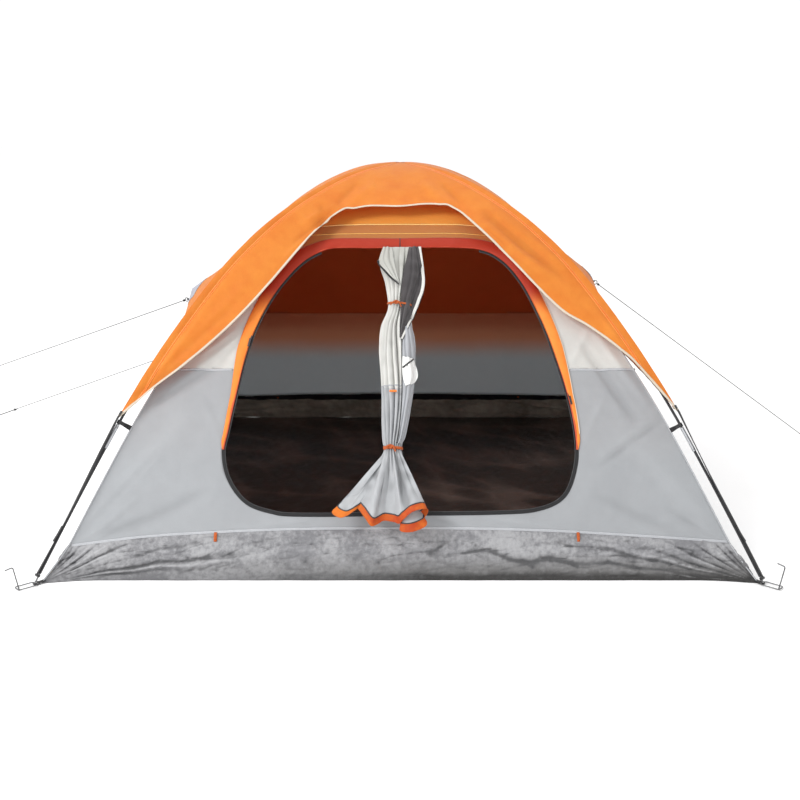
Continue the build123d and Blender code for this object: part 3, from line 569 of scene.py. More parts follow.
# Tub cloth, with painted shade toward the ground.
TUB_OUT = cloth("tub_grey", (0.335, 0.335, 0.345), (0.17, 0.17, 0.18), rough=0.44, crinkle=0.010,
                crinkle_size=0.016, fine=0.0010, sheen=0.05, spread=0.11, fold=0.85, zone=tub_painted_shade)
TUB_IN = cloth("tub_inside", (0.44, 0.40, 0.34), (0.20, 0.18, 0.15), rough=0.5, crinkle=0.006,
               crinkle_size=0.035, spread=0.2, zone=by_height(0.110, 0.118, (0.008, 0.009, 0.012)))
FLOOR_TOP = cloth("floor_dark", (0.12, 0.088, 0.074), (0.050, 0.037, 0.031), rough=0.40, crinkle=0.006,
                  crinkle_size=0.06, fine=0.0008, sheen=0.02, fold=0.8, spread=0.25)
FLOOR_UNDER = cloth("floor_under", (0.22, 0.22, 0.23), (0.14, 0.14, 0.15), rough=0.6)
PATCH = cloth("patch_grey", (0.34, 0.34, 0.39), (0.26, 0.26, 0.30), stitch=(0.003, 0.004, (0.5, 0.5, 0.52)))
# Storm flap cloth; its top is painted dark red, painted shade under the fly's brow.
FLAP_ORANGE = cloth("storm_flap", (0.90, 0.29, 0.045), (0.80, 0.20, 0.02), rough=0.6, glow=0.12,
                    glow_color=(0.8, 0.12, 0.02), zone=by_height(0.86, 0.96, (0.36, 0.022, 0.006)))
SEAM_RED = cloth("flap_seam", (0.50, 0.05, 0.015), (0.40, 0.03, 0.01), stitch=(0.0012, 0.004, (0.75, 0.2, 0.08)))
SEAM_GREY = cloth("grey_seam", (0.40, 0.41, 0.43), (0.33, 0.34, 0.36), stitch=(0.0026, 0.0042, (0.62, 0.63, 0.65)))
SEAM_WHITE = cloth("white_seam", (0.66, 0.655, 0.62), (0.56, 0.55, 0.52), stitch=(0.0026, 0.0042, (0.8, 0.8, 0.78)))
YELLOW_TAPE = cloth("yellow_tape", (0.90, 0.55, 0.12), (0.80, 0.42, 0.08), stitch=(0.0016, 0.004, (0.95, 0.8, 0.5)))
DOOR_CLOTH = cloth("door_grey", (0.53, 0.545, 0.56), (0.42, 0.43, 0.445), glow=0.22, glow_color=(0.38, 0.39, 0.41),
                   crinkle=0.002, crinkle_size=0.03, zone=door_zone, fold=0.55)
HEM_ORANGE = cloth("hem_orange", (0.72, 0.19, 0.016), (0.46, 0.05, 0.006), rough=0.6, glow=0.2,
                   glow_color=(0.7, 0.1, 0.01), crinkle=0.0016, crinkle_size=0.03, spread=0.16)
SCREEN = cloth("door_screen", (0.075, 0.066, 0.068), (0.045, 0.042, 0.044), rough=0.8, weave=0.0018,
               crinkle=0.0015, glow=0.1, glow_color=(0.12, 0.11, 0.11), sheen=0.3)
TAG = cloth("care_tag", (0.82, 0.82, 0.80), (0.74, 0.74, 0.73), crinkle=0.0006)
BLACK_WEB = webbing("black_webbing", (0.018, 0.018, 0.02), (0.01, 0.01, 0.011))
ORANGE_WEB = webbing("orange_webbing", (0.55, 0.115, 0.018), (0.38, 0.07, 0.010))
ZIP_TAPE = webbing("zip_tape", (0.022, 0.022, 0.024), (0.014, 0.014, 0.015), rib=0.001)
BLACK_PLASTIC = plastic("black_plastic", (0.018, 0.018, 0.019), (0.045, 0.045, 0.047))
ORANGE_PLASTIC = plastic("orange_plastic", (0.80, 0.19, 0.02), (0.86, 0.32, 0.10))
FIBREGLASS = plastic("fibreglass", (0.012, 0.012, 0.014), (0.05, 0.05, 0.052), rough=0.26, grain=1500.0,
                     depth=0.00005)
ZIP_TEETH = plastic("zip_teeth", (0.03, 0.03, 0.033), (0.09, 0.09, 0.09), rough=0.35)
STEEL = metal("steel_wire", (0.17, 0.17, 0.175), (0.07, 0.065, 0.06), rough=0.42)
FERRULE = metal("ferrule", (0.50, 0.51, 0.53), (0.20, 0.20, 0.21), rough=0.32, grain=700.0)
SLIDER = metal("slider", (0.06, 0.06, 0.065), (0.15, 0.14, 0.13), rough=0.35)


def cord_material():
    """Braided dark cord with bright flecks."""
    s = Shader("guy_cord")
    fleck, strand = s.noise(330.0, 2.0), s.noise(900.0, 2.0)
    base = s.mix(strand, (0.006, 0.006, 0.007), (0.028, 0.028, 0.031))
    base = s.mix(s.ramp(fleck, 0.70, 0.76), base, (0.20, 0.20, 0.19))
    return s.surface(base, s.within(strand, 0.5, 0.8), s.bump(strand, 0.0005, 0.9))


CORD_BRAID = cord_material()
for guy in GUYS.values():
    guy["cord"].data.materials.append(CORD_BRAID)

# Finish of the first of these words that a CAD node's name has in it.
FINISHES = {"ferrules": FERRULE, "pole_a": FIBREGLASS, "pole_b": FIBREGLASS, "stake": STEEL, "corner_pins": STEEL,
            "corner_rings": STEEL, "zipper_slider": SLIDER, "toggle": ORANGE_PLASTIC, "shock_cords": CORD_BRAID}
for name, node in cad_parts.items():
    finish = next((finish for word, finish in FINISHES.items() if word in name), BLACK_PLASTIC)
    node.data.materials.clear()
    node.data.materials.append(finish)

# ------------------------------------------------------------------ rain fly
FLY_CORNER = {"front_left": 0.541, "front_right": 0.560, "rear_right": 0.548, "rear_left": 0.545}
# Front edge of the fly from the left corner to the right: (across, height).
BROW = metres([
    (-893, 631), (-772, 717), (-669, 800), (-548, 914), (-461, 1008), (-374, 1106), (-303, 1178), (-249, 1219),
    (-173, 1239), (0, 1247), (150, 1253), (205, 1243), (248, 1217), (303, 1168), (375, 1103), (481, 998),
    (587, 898), (694, 834), (798, 762), (868, 703), (928, 635),
])
FLY_COLUMNS, FLY_ROWS = 180, 96
# Guy points in the fly's sides, (across, height), and the reach of the cloth drawn out to them.
PULLS = {"left": (-0.898, 0.823), "right": (0.817, 0.900)}
PULL_ACROSS, PULL_UP = 0.46, 0.24
# Depth of fold at which the cloth is fully shaded.
FOLD_SCALE = 0.004
SEAM_INSET = 0.034
# Creases of the fly's front, each as its start, its end, its width and its depth.
FLY_CREASES = [
    (-330, 1215, -230, 1145, 13, -7), (-380, 1185, -240, 1250, 12, 5), (-310, 1255, -260, 1160, 10, -5),
    (-300, 1185, -370, 1090, 12, 5), (-400, 1120, -290, 1200, 9, -5), (-440, 1060, -330, 1170, 10, 4),
    (270, 1205, 560, 1005, 16, 7), (310, 1230, 620, 985, 16, -7), (300, 1185, 420, 1100, 9, -5),
    (360, 1220, 660, 1010, 16, 4), (200, 1250, 80, 1330, 16, 4), (240, 1255, 160, 1325, 12, -4),
    (-220, 1235, -100, 1330, 16, 4), (-250, 1250, -170, 1325, 12, -4), (980, 565, 700, 900, 15, 5),
    (-980, 555, -700, 900, 15, 5), (-1000, 560, -600, 920, 14, -5), (1000, 570, 620, 960, 14, -5),
    (-950, 600, -780, 720, 10, -5), (960, 600, 800, 760, 10, -5), (-860, 680, -560, 990, 18, 3),
    (860, 720, 520, 1060, 18, 3),
]


def fly_edge(side, u):
    """Height of the fly's lower edge on a side."""
    a, b = (FLY_CORNER[corner] for corner in ENDS[side])
    if side == "front":
        us = BROW[:, 0] / half_at("front", BROW[:, 1], FLY_SKIN)
        return smooth_through([-1, *us, 1], [a, *BROW[:, 1], b], u)
    return a + (b - a) * (u + 1) / 2 + (0.018 if side == "rear" else 0.052) * (1 - abs(u) ** 1.7)


def fly_folds(side, across, height, place):
    """Wrinkles of the fly: fine ones, a fan round each guy point and creases over the door."""
    flat = field(across, height)
    folds = 0.0006 * ripple(place, 0.16, 7)
    if side in PULLS:
        z = PULLS[side][1]
        for turn in np.linspace(0, 2 * pi, 9)[:-1]:
            x, up = 0.30 * cos(turn + 0.3), 0.17 * sin(turn + 0.3)
            ridge, valley = ((0.02 * cos(a), z + 0.01 * sin(a)) for a in (turn, turn + 0.35))
            folds += crease(flat, ridge, (x, z + up), 0.016, 0.0035)
            folds -= crease(flat, valley, (0.9 * x, z + 0.9 * up - 0.02), 0.014, 0.003)
    return folds + creases(FLY_CREASES, across, height) if side == "front" else folds


def fly_out(side, across, station):
    """How far the fly stands off its even surface, with sag and drawn-out sides, and its folds alone."""
    u = across / (half_width(side, station, FLY_SKIN) + 1e-6)
    height = share_height(station, FLY_SKIN)[1]
    place = field(across, height * 1.3, AXES[side][1][0] + 3.0 * AXES[side][1][1])
    out = -0.009 * (1 - u**2) * np.clip(station / 0.5, 0, 1)
    out += 0.0022 * ripple(place, 0.30, 5) * (1 - u**8) + 0.0008 * ripple(place, 0.09, 6) * (1 - u**8)
    if side in PULLS:
        x, z = PULLS[side]
        far = np.hypot(across / PULL_ACROSS, (height - z) / PULL_UP)
        out += (abs(x) - half_at("front", z, FLY_SKIN) + 0.009) * np.clip(1 - far, 0, 1) ** 1.35
    folds = fly_folds(side, across, height, place)
    # Hollow beside each ridge, where the cloth is drawn over the pole and the panel seam lies.
    edge = half_width(side, station, FLY_SKIN) - abs(across)
    return out + folds - 0.005 * bell((edge - SEAM_INSET) / 0.013) * np.clip(station / 0.3, 0, 1), folds


def on_fly(side, across, station, lift=0.0):
    """Points on the fly, lifted off its cloth."""
    return on_vault(side, across, station, fly_out(side, across, station)[0] + lift, FLY_SKIN)


def with_uv(points, u, v, folds):
    """Rows of points with their UVs and fold depths beside them."""
    return np.concatenate([points, field(u, v, folds / FOLD_SCALE)], -1)


v = np.linspace(0.012, 1, FLY_ROWS)[:, None]
u = np.sin(pi / 2 * np.linspace(-1, 1, FLY_COLUMNS, endpoint=False))
blocks = []
for number, side in enumerate(AXES):
    station = v * station_of(fly_edge(side, u), FLY_SKIN)
    across = u * half_width(side, station, FLY_SKIN)
    out, folds = fly_out(side, across, station)
    points = on_vault(side, across, station, out, FLY_SKIN)
    blocks.append(with_uv(points, across + 4.0 * number, station, folds))
fly_grid = np.concatenate(blocks, 1)
columns = fly_grid.shape[1]
crown = [*(fly_grid[0, :, :3].mean(0) + (0, 0, 0.0004)), 0, 0, 0]
fly_rows = np.vstack([fly_grid.reshape(-1, 6), crown])
fly_faces = grid_faces(FLY_ROWS, columns, wrap=True, flip=True)
fly_faces += [(FLY_ROWS * columns, (c + 1) % columns, c) for c in range(columns)]
fly = add_piece("fly_canopy", fly_rows[:, :3], fly_faces, FLY, fly_rows[:, 3:5],
                ["fly_front", "fly_rear", "fly_left", "fly_right"], fold=fly_rows[:, 5])

# Pale binding folded over the lower edge, all the way round.
edge_line = fly_grid[-1, :, :3]
edge_up = unit(fly_grid[-2, :, :3] - edge_line)
edge_normal = unit(np.cross(edge_up, ahead_of(edge_line)))
edge_normal *= np.sign((edge_normal * (edge_line - (0, 0, 0.3))).sum(1))[:, None]
add_sweeps("fly_binding", [sweep(edge_line + 0.004 * edge_up, edge_normal, tape(0.009, 0.0030), closed=True)],
           PIPING, ["fly_binding"])

# Felled seams where the four panels meet, one beside each ridge; their darker colour is partly the seam's own and
# partly painted shade of the crease there.
fly_seams = []
for side in ("front", "rear"):
    for sign, corner in zip((-1, 1), ENDS[side]):
        station = np.linspace(0.09, station_of(FLY_CORNER[corner] + 0.03, FLY_SKIN), 150)
        share = 1 - SEAM_INSET / half_width(side, station, FLY_SKIN)
        station = station[share_height(station, FLY_SKIN)[1] > fly_edge(side, sign * share) + 0.006]
        across = sign * (half_width(side, station, FLY_SKIN) - SEAM_INSET)
        path = on_fly(side, across, station, 0.0006)
        fly_seams.append(sweep(path, on_fly(side, across, station, 1.0) - path, tape(0.011, 0.0014)))
add_sweeps("fly_seams", fly_seams, SEAM_ORANGE)

# ------------------------------------------------------------------ inner tent walls
# Door opening from the top middle, going round to the left: (across, height).
DOOR = metres([
    (0, 1098), (-180, 1098), (-272, 1092), (-358, 1055), (-432, 987), (-495, 900), (-552, 780), (-594, 617),
    (-622, 486), (-636, 410), (-613, 323), (-550, 249), (-460, 217), (-354, 207), (0, 210), (350, 214),
    (496, 226), (586, 268), (628, 356), (636, 454), (611, 600), (552, 783), (496, 910), (452, 985), (386, 1055),
    (308, 1091), (180, 1098),
])
DOOR_MIDDLE = np.array([0.01, 0.64])
SEAM_FRONT, SEAM_REAR = 0.685, 0.625
# Top of the tub at the front: (share of the half width, height).
TUB_TOP = metres([(-1000, 112), (-800, 138), (-500, 158), (0, 168), (450, 160), (750, 142), (1000, 124)])
# Creases of the front wall, each as its start, its end, its width and its depth.
WALL_CREASES = [
    (860, 500, 660, 780, 18, -7), (900, 560, 700, 830, 16, 5), (-900, 560, -620, 720, 16, -5),
    (-840, 620, -580, 800, 15, 5), (-660, 700, -520, 860, 12, -4), (-740, 720, -600, 820, 10, 4),
    (620, 700, 720, 860, 12, 4), (-1120, 150, -750, 550, 30, 5), (1120, 160, 780, 500, 30, 5),
    (-1020, 140, -660, 300, 20, -4), (1000, 140, 680, 280, 20, -4), (-300, 200, -550, 165, 12, 3),
    (300, 200, 600, 165, 12, 3), (100, 205, 220, 170, 10, -3), (-720, 600, -630, 420, 12, 3),
    (750, 620, 660, 450, 12, 3), (950, 520, 700, 360, 10, -5), (930, 535, 720, 400, 10, 4),
    (-1130, 140, -860, 420, 12, -4), (-1100, 135, -920, 280, 10, 4), (-1080, 130, -900, 200, 10, -4),
    (1100, 140, 940, 240, 12, -4),
]


def tub_top(side, t):
    """Height of the seam between the tub and the wall above it, at a share of the half width."""
    if side == "front":
        return smooth_through(*TUB_TOP.T, t)
    return 0.122 + 0.034 * (1 - abs(t) ** 2.2)


def seam_height(side, t):
    """Height of the seam between the grey and the pale cloth."""
    way = {"front": -1.0, "rear": 1.0, "right": t, "left": -t}[side]
    return SEAM_FRONT + (SEAM_REAR - SEAM_FRONT) * (0.5 + 0.5 * way) + 0 * t


def wall_folds(side, across, height):
    """Creases of a wall alone."""
    return creases(WALL_CREASES if side == "front" else [], across, height)


def wall_out(side, across, height):
    """How far a wall stands off its even surface."""
    half = half_at(side, height)
    t = np.clip(across / (half + 1e-6), -1, 1)
    place = field(across, height * 1.2, 7.0 * list(AXES).index(side))
    out = -0.010 * (1 - t**2) * np.clip(half / 0.5, 0, 1)
    out += (0.0024 * ripple(place, 0.34, 11) + 0.0009 * ripple(place, 0.10, 12)) * (1 - t**10)
    return out + wall_folds(side, across, height)


def boundary(points, angles):
    """Distance from the door's middle to a closed outline in each direction."""
    rel = points - DOOR_MIDDLE
    angle = np.arctan2(rel[:, 1], rel[:, 0])
    order = np.argsort(angle)
    return np.interp(angles, angle[order], np.hypot(*rel.T)[order], period=2 * pi)


def front_outline():
    """Outline of the front wall above its tub: (across, height)."""
    t = np.linspace(-1, 1, 160)
    bottom = field(t * half_at("front", np.where(t < 0, 0.112, 0.124)), tub_top("front", t))
    station = np.linspace(station_of(tub_top("front", 1.0)), 0.0, 260)[1:]
    ridge = field(half_width("front", station), share_height(station)[1])
    left = ridge[::-1][1:] * (-1, 1)
    return np.vstack([bottom, ridge, left[left[:, 1] > 0.114]])


# Points round the opening, and the first of them on the way up its right side.
DOOR_STEPS, RIGHT_SIDE = 720, 400
door_line = spline_through(DOOR, DOOR_STEPS, closed=True)


def wall(side):
    """Places on a wall, rings round the door at the front or a plain grid, and the grid's faces."""
    if side == "front":
        outline = front_outline()
        # The lower corners and the top of the wall have a column of their own.
        exact = np.arctan2(*(np.vstack([outline[[0, 159]], [0.0, 1.33]]) - DOOR_MIDDLE).T[::-1])
        angles = np.unique(np.append(np.linspace(-pi, pi, 540, endpoint=False), exact))
        t = np.linspace(0, 1, 44)[:, None]
        radius = boundary(door_line, angles) * (1 - t) + boundary(outline, angles) * t
        across = DOOR_MIDDLE[0] + radius * np.cos(angles)
        height = DOOR_MIDDLE[1] + radius * np.sin(angles)
        return across, height, station_of(height), grid_faces(*across.shape, wrap=True)
    u = np.sin(pi / 2 * np.linspace(-1, 1, 110))
    station = np.linspace(0.0, 1, 90)[:, None] * station_of(tub_top(side, u))
    across = u * half_width(side, station)
    return across, share_height(station)[1], station, grid_faces(*across.shape)


def cut_at_seam(name, side, keep_above, material, inside, replaces=()):
    """Part of a wall above or below its seam, as a piece of its own with another finish on its inner face."""
    across, height, station, faces = wall(side)
    points = on_vault(side, across, station, wall_out(side, across, height))
    obj = add_piece(name, points, faces, material, field(across, station), replaces,
                    fold=wall_folds(side, across, height) / FOLD_SCALE)
    run = DEPTH * share_height(station_of(0.65))[0]
    middle, slope = {"front": (SEAM_FRONT, 0), "rear": (SEAM_REAR, 0)}.get(
        side, ((SEAM_FRONT + SEAM_REAR) / 2, (SEAM_FRONT - SEAM_REAR) / run))
    shape = bmesh.new()
    shape.from_mesh(obj.data)
    bmesh.ops.bisect_plane(
        shape, geom=shape.verts[:] + shape.edges[:] + shape.faces[:], plane_co=(0, 0, middle),
        plane_no=(0, slope, 1), clear_inner=keep_above, clear_outer=not keep_above,
    )
    bmesh.ops.remove_doubles(shape, verts=shape.verts[:], dist=0.0001)
    bmesh.ops.recalc_face_normals(shape, faces=shape.faces[:])
    outward = Vector((*AXES[side][1], 0.3))
    if sum(face.normal.dot(outward) * face.calc_area() for face in shape.faces) < 0:
        bmesh.ops.reverse_faces(shape, faces=shape.faces[:])
    shape.to_mesh(obj.data)
    shape.free()
    obj.data.polygons.foreach_set("use_smooth", [True] * len(obj.data.polygons))
    inner_face(obj, 0.0007, inside)
    return obj


lower_walls, upper_walls = {}, []
for side in AXES:
    lower_walls[side] = cut_at_seam(f"wall_{side}_cloth", side, False, GREY_WALL, GREY_IN,
                                    [f"wall_{side}"])
    upper_walls.append(cut_at_seam(f"upper_{side}_cloth", side, True, WHITE_WALL, WARM_IN))
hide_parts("upper_walls")

# ------------------------------------------------------------------ tub and floor
FLOOR_CORNER = np.array([half_at("front", 0.0), half_at("right", 0.0)])
CORNER_DRAW = 0.036
# Folds that fan out of each corner of the tub: (angle, width, reach, depth).
TUB_FAN = metres([
    (70, 18, 720, -6.2), (110, 18, 600, 4.5), (160, 18, 660, -5.8), (220, 20, 420, 4), (280, 20, 500, -5.5),
    (360, 22, 300, 4), (430, 22, 380, -5.6), (520, 25, 240, 3.6), (600, 25, 320, -5.4), (700, 30, 200, 3.4),
    (820, 30, 260, -5), (1000, 35, 180, -4.4), (1160, 35, 180, 3.4), (1300, 40, 180, -4),
])


def drawn_out(points):
    """Cloth near the floor's corners, drawn out toward the pole feet."""
    far = np.hypot(*np.moveaxis(abs(points[..., :2]) - FLOOR_CORNER, -1, 0))
    amount = CORNER_DRAW * bell(far / 0.085) * np.clip(1 - points[..., 2] / 0.125, 0, 1)
    return points + amount[..., None] * np.sign(points) * (0.76, 0.65, 0)


def tub_fan(away, height, seed):
    """Folds at a distance in from a corner and a height."""
    reach = np.hypot(away, height) + 1e-4
    wander = 0.012 * np.sin(9 * reach + seed) + 0.008 * np.sin(31 * reach + 2.1 * seed)
    angle = np.arctan2(height, np.maximum(away, 0)) + wander
    total = np.zeros_like(reach)
    for n, (at, width, long, depth) in enumerate(TUB_FAN):
        across = bell((angle - at - 0.03 * np.sin(3.7 * n + seed)) / width)
        run = long * (1 + 0.25 * np.sin(2.3 * n + 1.7 * seed))
        total += 1.15 * depth * across * np.exp(-((reach / run) ** 3)) * np.clip(reach / 0.10, 0, 1)
    return total


# Low waterproof wall all round, crinkled and pleated at its corners.
u = np.sin(pi / 2 * np.linspace(-1, 1, 300, endpoint=False))
t = np.linspace(0, 1, 44)[:, None]
near = np.sin(pi * np.clip(t * 0.90 + 0.06, 0, 1)) ** 0.7
blocks = []
for number, side in enumerate(AXES):
    top = tub_top(side, u)
    height = 0.0015 + (top - 0.0015) * t
    station = station_of(height)
    across = u * half_width(side, station)
    place = field(across, height * 1.4, 5.0 * number)
    streak = field(across * 0.45, height * 2.2 + 0.10 * abs(across), 5.0 * number)
    wide = half_at(side, 0.0)
    lines = sum(bell(ripple(streak, size, seed) / 0.13) for size, seed in ((0.13, 24), (0.075, 25)))
    fold = 0.0011 - 0.0025 * lines + 0.0008 * ripple(place, 0.030, 22) + 0.0006 * ripple(place, 0.016, 23)
    fold += tub_fan(wide - across, height, 1.0 + number) + tub_fan(wide + across, height, 2.6 + 1.3 * number)
    out = near * (fold + 0.0030 * ripple(place, 0.13, 21))
    out += wall_out(side, across, np.maximum(height, top * 0.98)) * t**3
    blocks.append(with_uv(on_vault(side, across, station, out), across + 4.0 * number, height, near * fold))
tub_grid = np.concatenate(blocks, 1)
tub = add_piece("tub_cloth", drawn_out(tub_grid[..., :3]), grid_faces(*tub_grid.shape[:2], wrap=True), TUB_OUT,
                tub_grid[..., 3:5], ["tub_walls"], fold=tub_grid[..., 5])
inner_face(tub, 0.0008, TUB_IN)

# Floor sheet, a little uneven over the ground, wrinkled and turned up at its edge.
half_x, half_y = FLOOR_CORNER - 0.0015
x, y = np.meshgrid(np.linspace(-half_x, half_x, 260), np.linspace(-half_y, half_y, 220))
place = field(x, y, 0.0)
edge = np.clip(np.minimum(half_x - abs(x), half_y - abs(y)) / 0.05, 0, 1)
lines = 1.6 - 2 * abs(ripple(field(x * 0.5, y + 0.25 * x, 2.0), 0.34, 33)) ** 0.6
lines -= 1.2 * abs(ripple(field(x + 0.3 * y, y * 0.4, 3.0), 0.30, 34)) ** 0.6
z = 0.0012 + edge * (0.0022 * (1.0 + ripple(place, 0.28, 31)) + 0.0009 * (1.0 + ripple(place, 0.07, 32)))
z = np.maximum(z, 0.0018) + edge * 0.0028 * np.clip(lines, 0, 1.6)
# The fold values paint highlight along the crinkle lines and shade between them.
floor_cloth = add_piece("floor_cloth", drawn_out(field(x, y, z)), grid_faces(*x.shape), FLOOR_TOP, field(x, y),
                        ["floor_sheet"], fold=1.1 * lines - 0.4)
inner_face(floor_cloth, 0.0008, FLOOR_UNDER)

# ------------------------------------------------------------------ stage
shader = Shader("studio_floor")
grain = shader.noise(3.0, 4.0)
pale = shader.mix(grain, (0.93, 0.93, 0.93), (0.95, 0.95, 0.95))
ground_mesh = bpy.data.meshes.new("studio_ground")
ground_mesh.from_pydata([(-60, -60, 0), (60, -60, 0), (60, 60, 0), (-60, 60, 0)], [], [(0, 1, 2, 3)])
ground_mesh.materials.append(shader.surface(pale, 0.8, shader.bump(grain, 0.0005, 0.2)))
ground = bpy.data.objects.new("studio_ground", ground_mesh)
scene.collection.objects.link(ground)
ground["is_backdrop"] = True

world = bpy.data.worlds.new("studio")
world.use_nodes = True
world.node_tree.nodes["Background"].inputs["Color"].default_value = (1.0, 1.0, 1.0, 1)
world.node_tree.nodes["Background"].inputs["Strength"].default_value = 1.07
scene.world = world
scene.view_settings.view_transform = "Standard"
# Two soft boxes: place, size and power.
for name, place, size, power in (("key", (-5.0, -4.5, 5.5), 2.6, 420), ("top", (1.0, 1.0, 7.0), 5.0, 60)):
    data = bpy.data.lights.new(name, "AREA")
    data.size, data.energy = size, power
    lamp = bpy.data.objects.new(name, data)
    lamp.location = place
    lamp.rotation_euler = (Vector((0, 0, 0.5)) - Vector(place)).to_track_quat("-Z", "Y").to_euler()
    scene.collection.objects.link(lamp)

# ------------------------------------------------------------------ door trim
door_away = unit(ahead_of(door_line)[:, ::-1] * (1, -1))


def on_front(flat, lift):
    """Points and outward normals on the front wall for (across, height) points."""
    return on_wall("front", flat[..., 0], flat[..., 1], lift)


def first_where(mask):
    """Index of the first true value."""
    return int(np.argmax(mask))


# Storm flap: it starts and ends at FLAP_FOOT and is widest round the upper corners.
FLAP_FOOT = 0.42
# Its width by its height: (height, width).
FLAP_WIDTH = metres([(420, 4), (450, 13), (600, 19), (750, 38), (1040, 44), (1098, 34)])
right_low = RIGHT_SIDE + first_where(door_line[RIGHT_SIDE:, 1] > FLAP_FOOT)
left_low = first_where(door_line[:, 1] < FLAP_FOOT)
flap_run = np.append(np.arange(right_low, DOOR_STEPS), np.arange(left_low))
flap_inner, flap_away = door_line[flap_run], door_away[flap_run]
wide = np.interp(flap_inner[:, 1], *FLAP_WIDTH.T)[:, None]
share = np.linspace(0, 1, 11)
flap_flat = flap_inner[:, None] + flap_away[:, None] * (-0.003 + wide * share)[..., None]
rolls = 0.0012 * ripple(field(flap_flat[..., 0], flap_flat[..., 1], 0.0), 0.07, 41) * np.sin(pi * share)
flap_points, _ = on_front(flap_flat, 0.0035 + 0.16 * wide * np.sin(pi * share) ** 0.8 + rolls)
flap = add_piece("storm_flap_cloth", flap_points, grid_faces(len(flap_run), 11, flip=True), FLAP_ORANGE,
                 field(run_of(flap_inner)[:, None], wide * share), ["storm_flap"])
flap.modifiers.new("thickness", "SOLIDIFY").thickness = 0.0008

path, normal = on_front(flap_flat[:, -1], 0.0035)
right_rim = slice(first_where(flap_inner[:, 1] > 0.47), first_where(flap_inner[:, 0] < 0.36))
add_sweeps("flap_piping", [sweep(path[right_rim], normal[right_rim], rod(0.0022))], PIPING)
path, normal = on_front(flap_flat[:, 1], 0.0052)
add_sweeps("flap_hem", [sweep(path, normal, tape(0.007, 0.0012))], SEAM_RED)
path = flap_points[first_where(flap_inner[:, 0] < 0.004)] + (0, -0.0006, 0.0004)
add_sweeps("flap_middle_seam", [sweep(path, (0, -0.84, 0.54), tape(0.004, 0.0012))], ZIP_TAPE)

going_up = door_line[RIGHT_SIDE:]
zip_to = RIGHT_SIDE + first_where((going_up[:, 0] < 0.30) & (going_up[:, 1] > 1.0))
zip_run = slice(first_where(door_line[:, 0] < -0.30), zip_to)
path, normal = on_front(door_line[zip_run] - 0.003 * door_away[zip_run], 0.0012)
add_sweeps("zip_tape", [sweep(path, normal, tape(0.013, 0.001))], ZIP_TAPE, ["door_zipper"])
TEETH = 2200
path, normal = on_front(spline_through(door_line[zip_run] - 0.0095 * door_away[zip_run], TEETH), 0.0016)
add_sweeps("zip_teeth", [sweep(path, normal, rod(0.0021, 6), scale=np.where(np.arange(TEETH) % 2, 1.0, 0.55))],
           ZIP_TEETH)


# ------------------------------------------------------------------ seams of the inner tent
def seam_on_wall(side, across, height, width, lift=0.001):
    """Flat felled seam along a line on a wall."""
    path, normal = on_wall(side, across, height, lift)
    return sweep(path, normal, tape(width, 0.0014))


tub_seams, cloth_seams = [], []
for side in AXES:
    half = half_at(side, 0.13)
    across = np.linspace(-half * 0.999, half * 0.999, 220)
    tub_seams.append(seam_on_wall(side, across, tub_top(side, across / half), 0.009))
    half = half_at(side, 0.655) * 0.985
    for low, high in [(-half, -0.612), (0.622, half)] if side == "front" else [(-half, half)]:
        across = np.linspace(low, high, 120)
        cloth_seams.append(seam_on_wall(side, across, seam_height(side, across / half), 0.008))
add_sweeps("tub_seam", tub_seams, SEAM_GREY)
add_sweeps("wall_seam", cloth_seams, SEAM_GREY)
brow_tapes = []
for height, width, reach in ((1.177, 0.004, 0.38), (1.146, 0.0025, 0.42)):
    across = np.linspace(-reach, reach, 120)
    brow_tapes.append(seam_on_wall("front", across, height - 0.02 * (across / reach) ** 4, width, 0.0012))
add_sweeps("brow_tape", brow_tapes, YELLOW_TAPE)


def corner_way(corner):
    """Level direction from the middle of the floor to a corner."""
    sx, sy = CORNERS[corner]
    return np.array([sx * WIDTH / 2, sy * DEPTH / 2, 0]) / HALF_DIAGONAL


def ridge_line(corner, stations, offset, lift=0.0):
    """Points along a ridge of a vault, with the outward normal of the ridge."""
    share, z = share_height(stations, offset + lift)
    lean = pole_at(stations)[2]
    up, way = np.array([0, 0, 1.0]), corner_way(corner)
    return (np.multiply.outer(share * HALF_DIAGONAL, way) + np.multiply.outer(z, up),
            np.multiply.outer(np.sin(lean), way) + np.multiply.outer(np.cos(lean), up))


ridges = []
for corner in CORNERS:
    path, normal = ridge_line(corner, np.linspace(0.02, station_of(0.006), 260), INNER, -0.0008)
    ridges.append(sweep(drawn_out(path), normal, tape(0.007, 0.003)))
add_sweeps("ridge_seams", ridges, SEAM_GREY)

# ------------------------------------------------------------------ webbing
LIFTS = {"front_left": POLE_LIFT, "rear_right": POLE_LIFT, "front_right": -POLE_LIFT, "rear_left": -POLE_LIFT}


def leg_frame(corner, station):
    """Point on a pole with its directions: to the side, outward and down along it."""
    reach, z, lean = pole_at(station)
    out = corner_way(corner)
    down = out * cos(lean) - np.array([0, 0, sin(lean)])
    side = np.array([-out[1], out[0], 0])
    return out * reach + np.array([0, 0, z + LIFTS[corner]]), side, np.cross(down, side), down


def folded(points, side, width, thick=0.0013, count=60):
    """Strap that keeps its width along one direction while its path folds back."""
    path = spline_through(points, count)
    return sweep(path, np.cross(np.gradient(path, axis=0), np.asarray(side, float)), tape(width, thick))


def arc(middle, radius, way, up, angles):
    """Points round a wire, at angles in degrees from up toward way."""
    return [middle + radius * (way * sin(radians(a)) + up * cos(radians(a))) for a in angles]


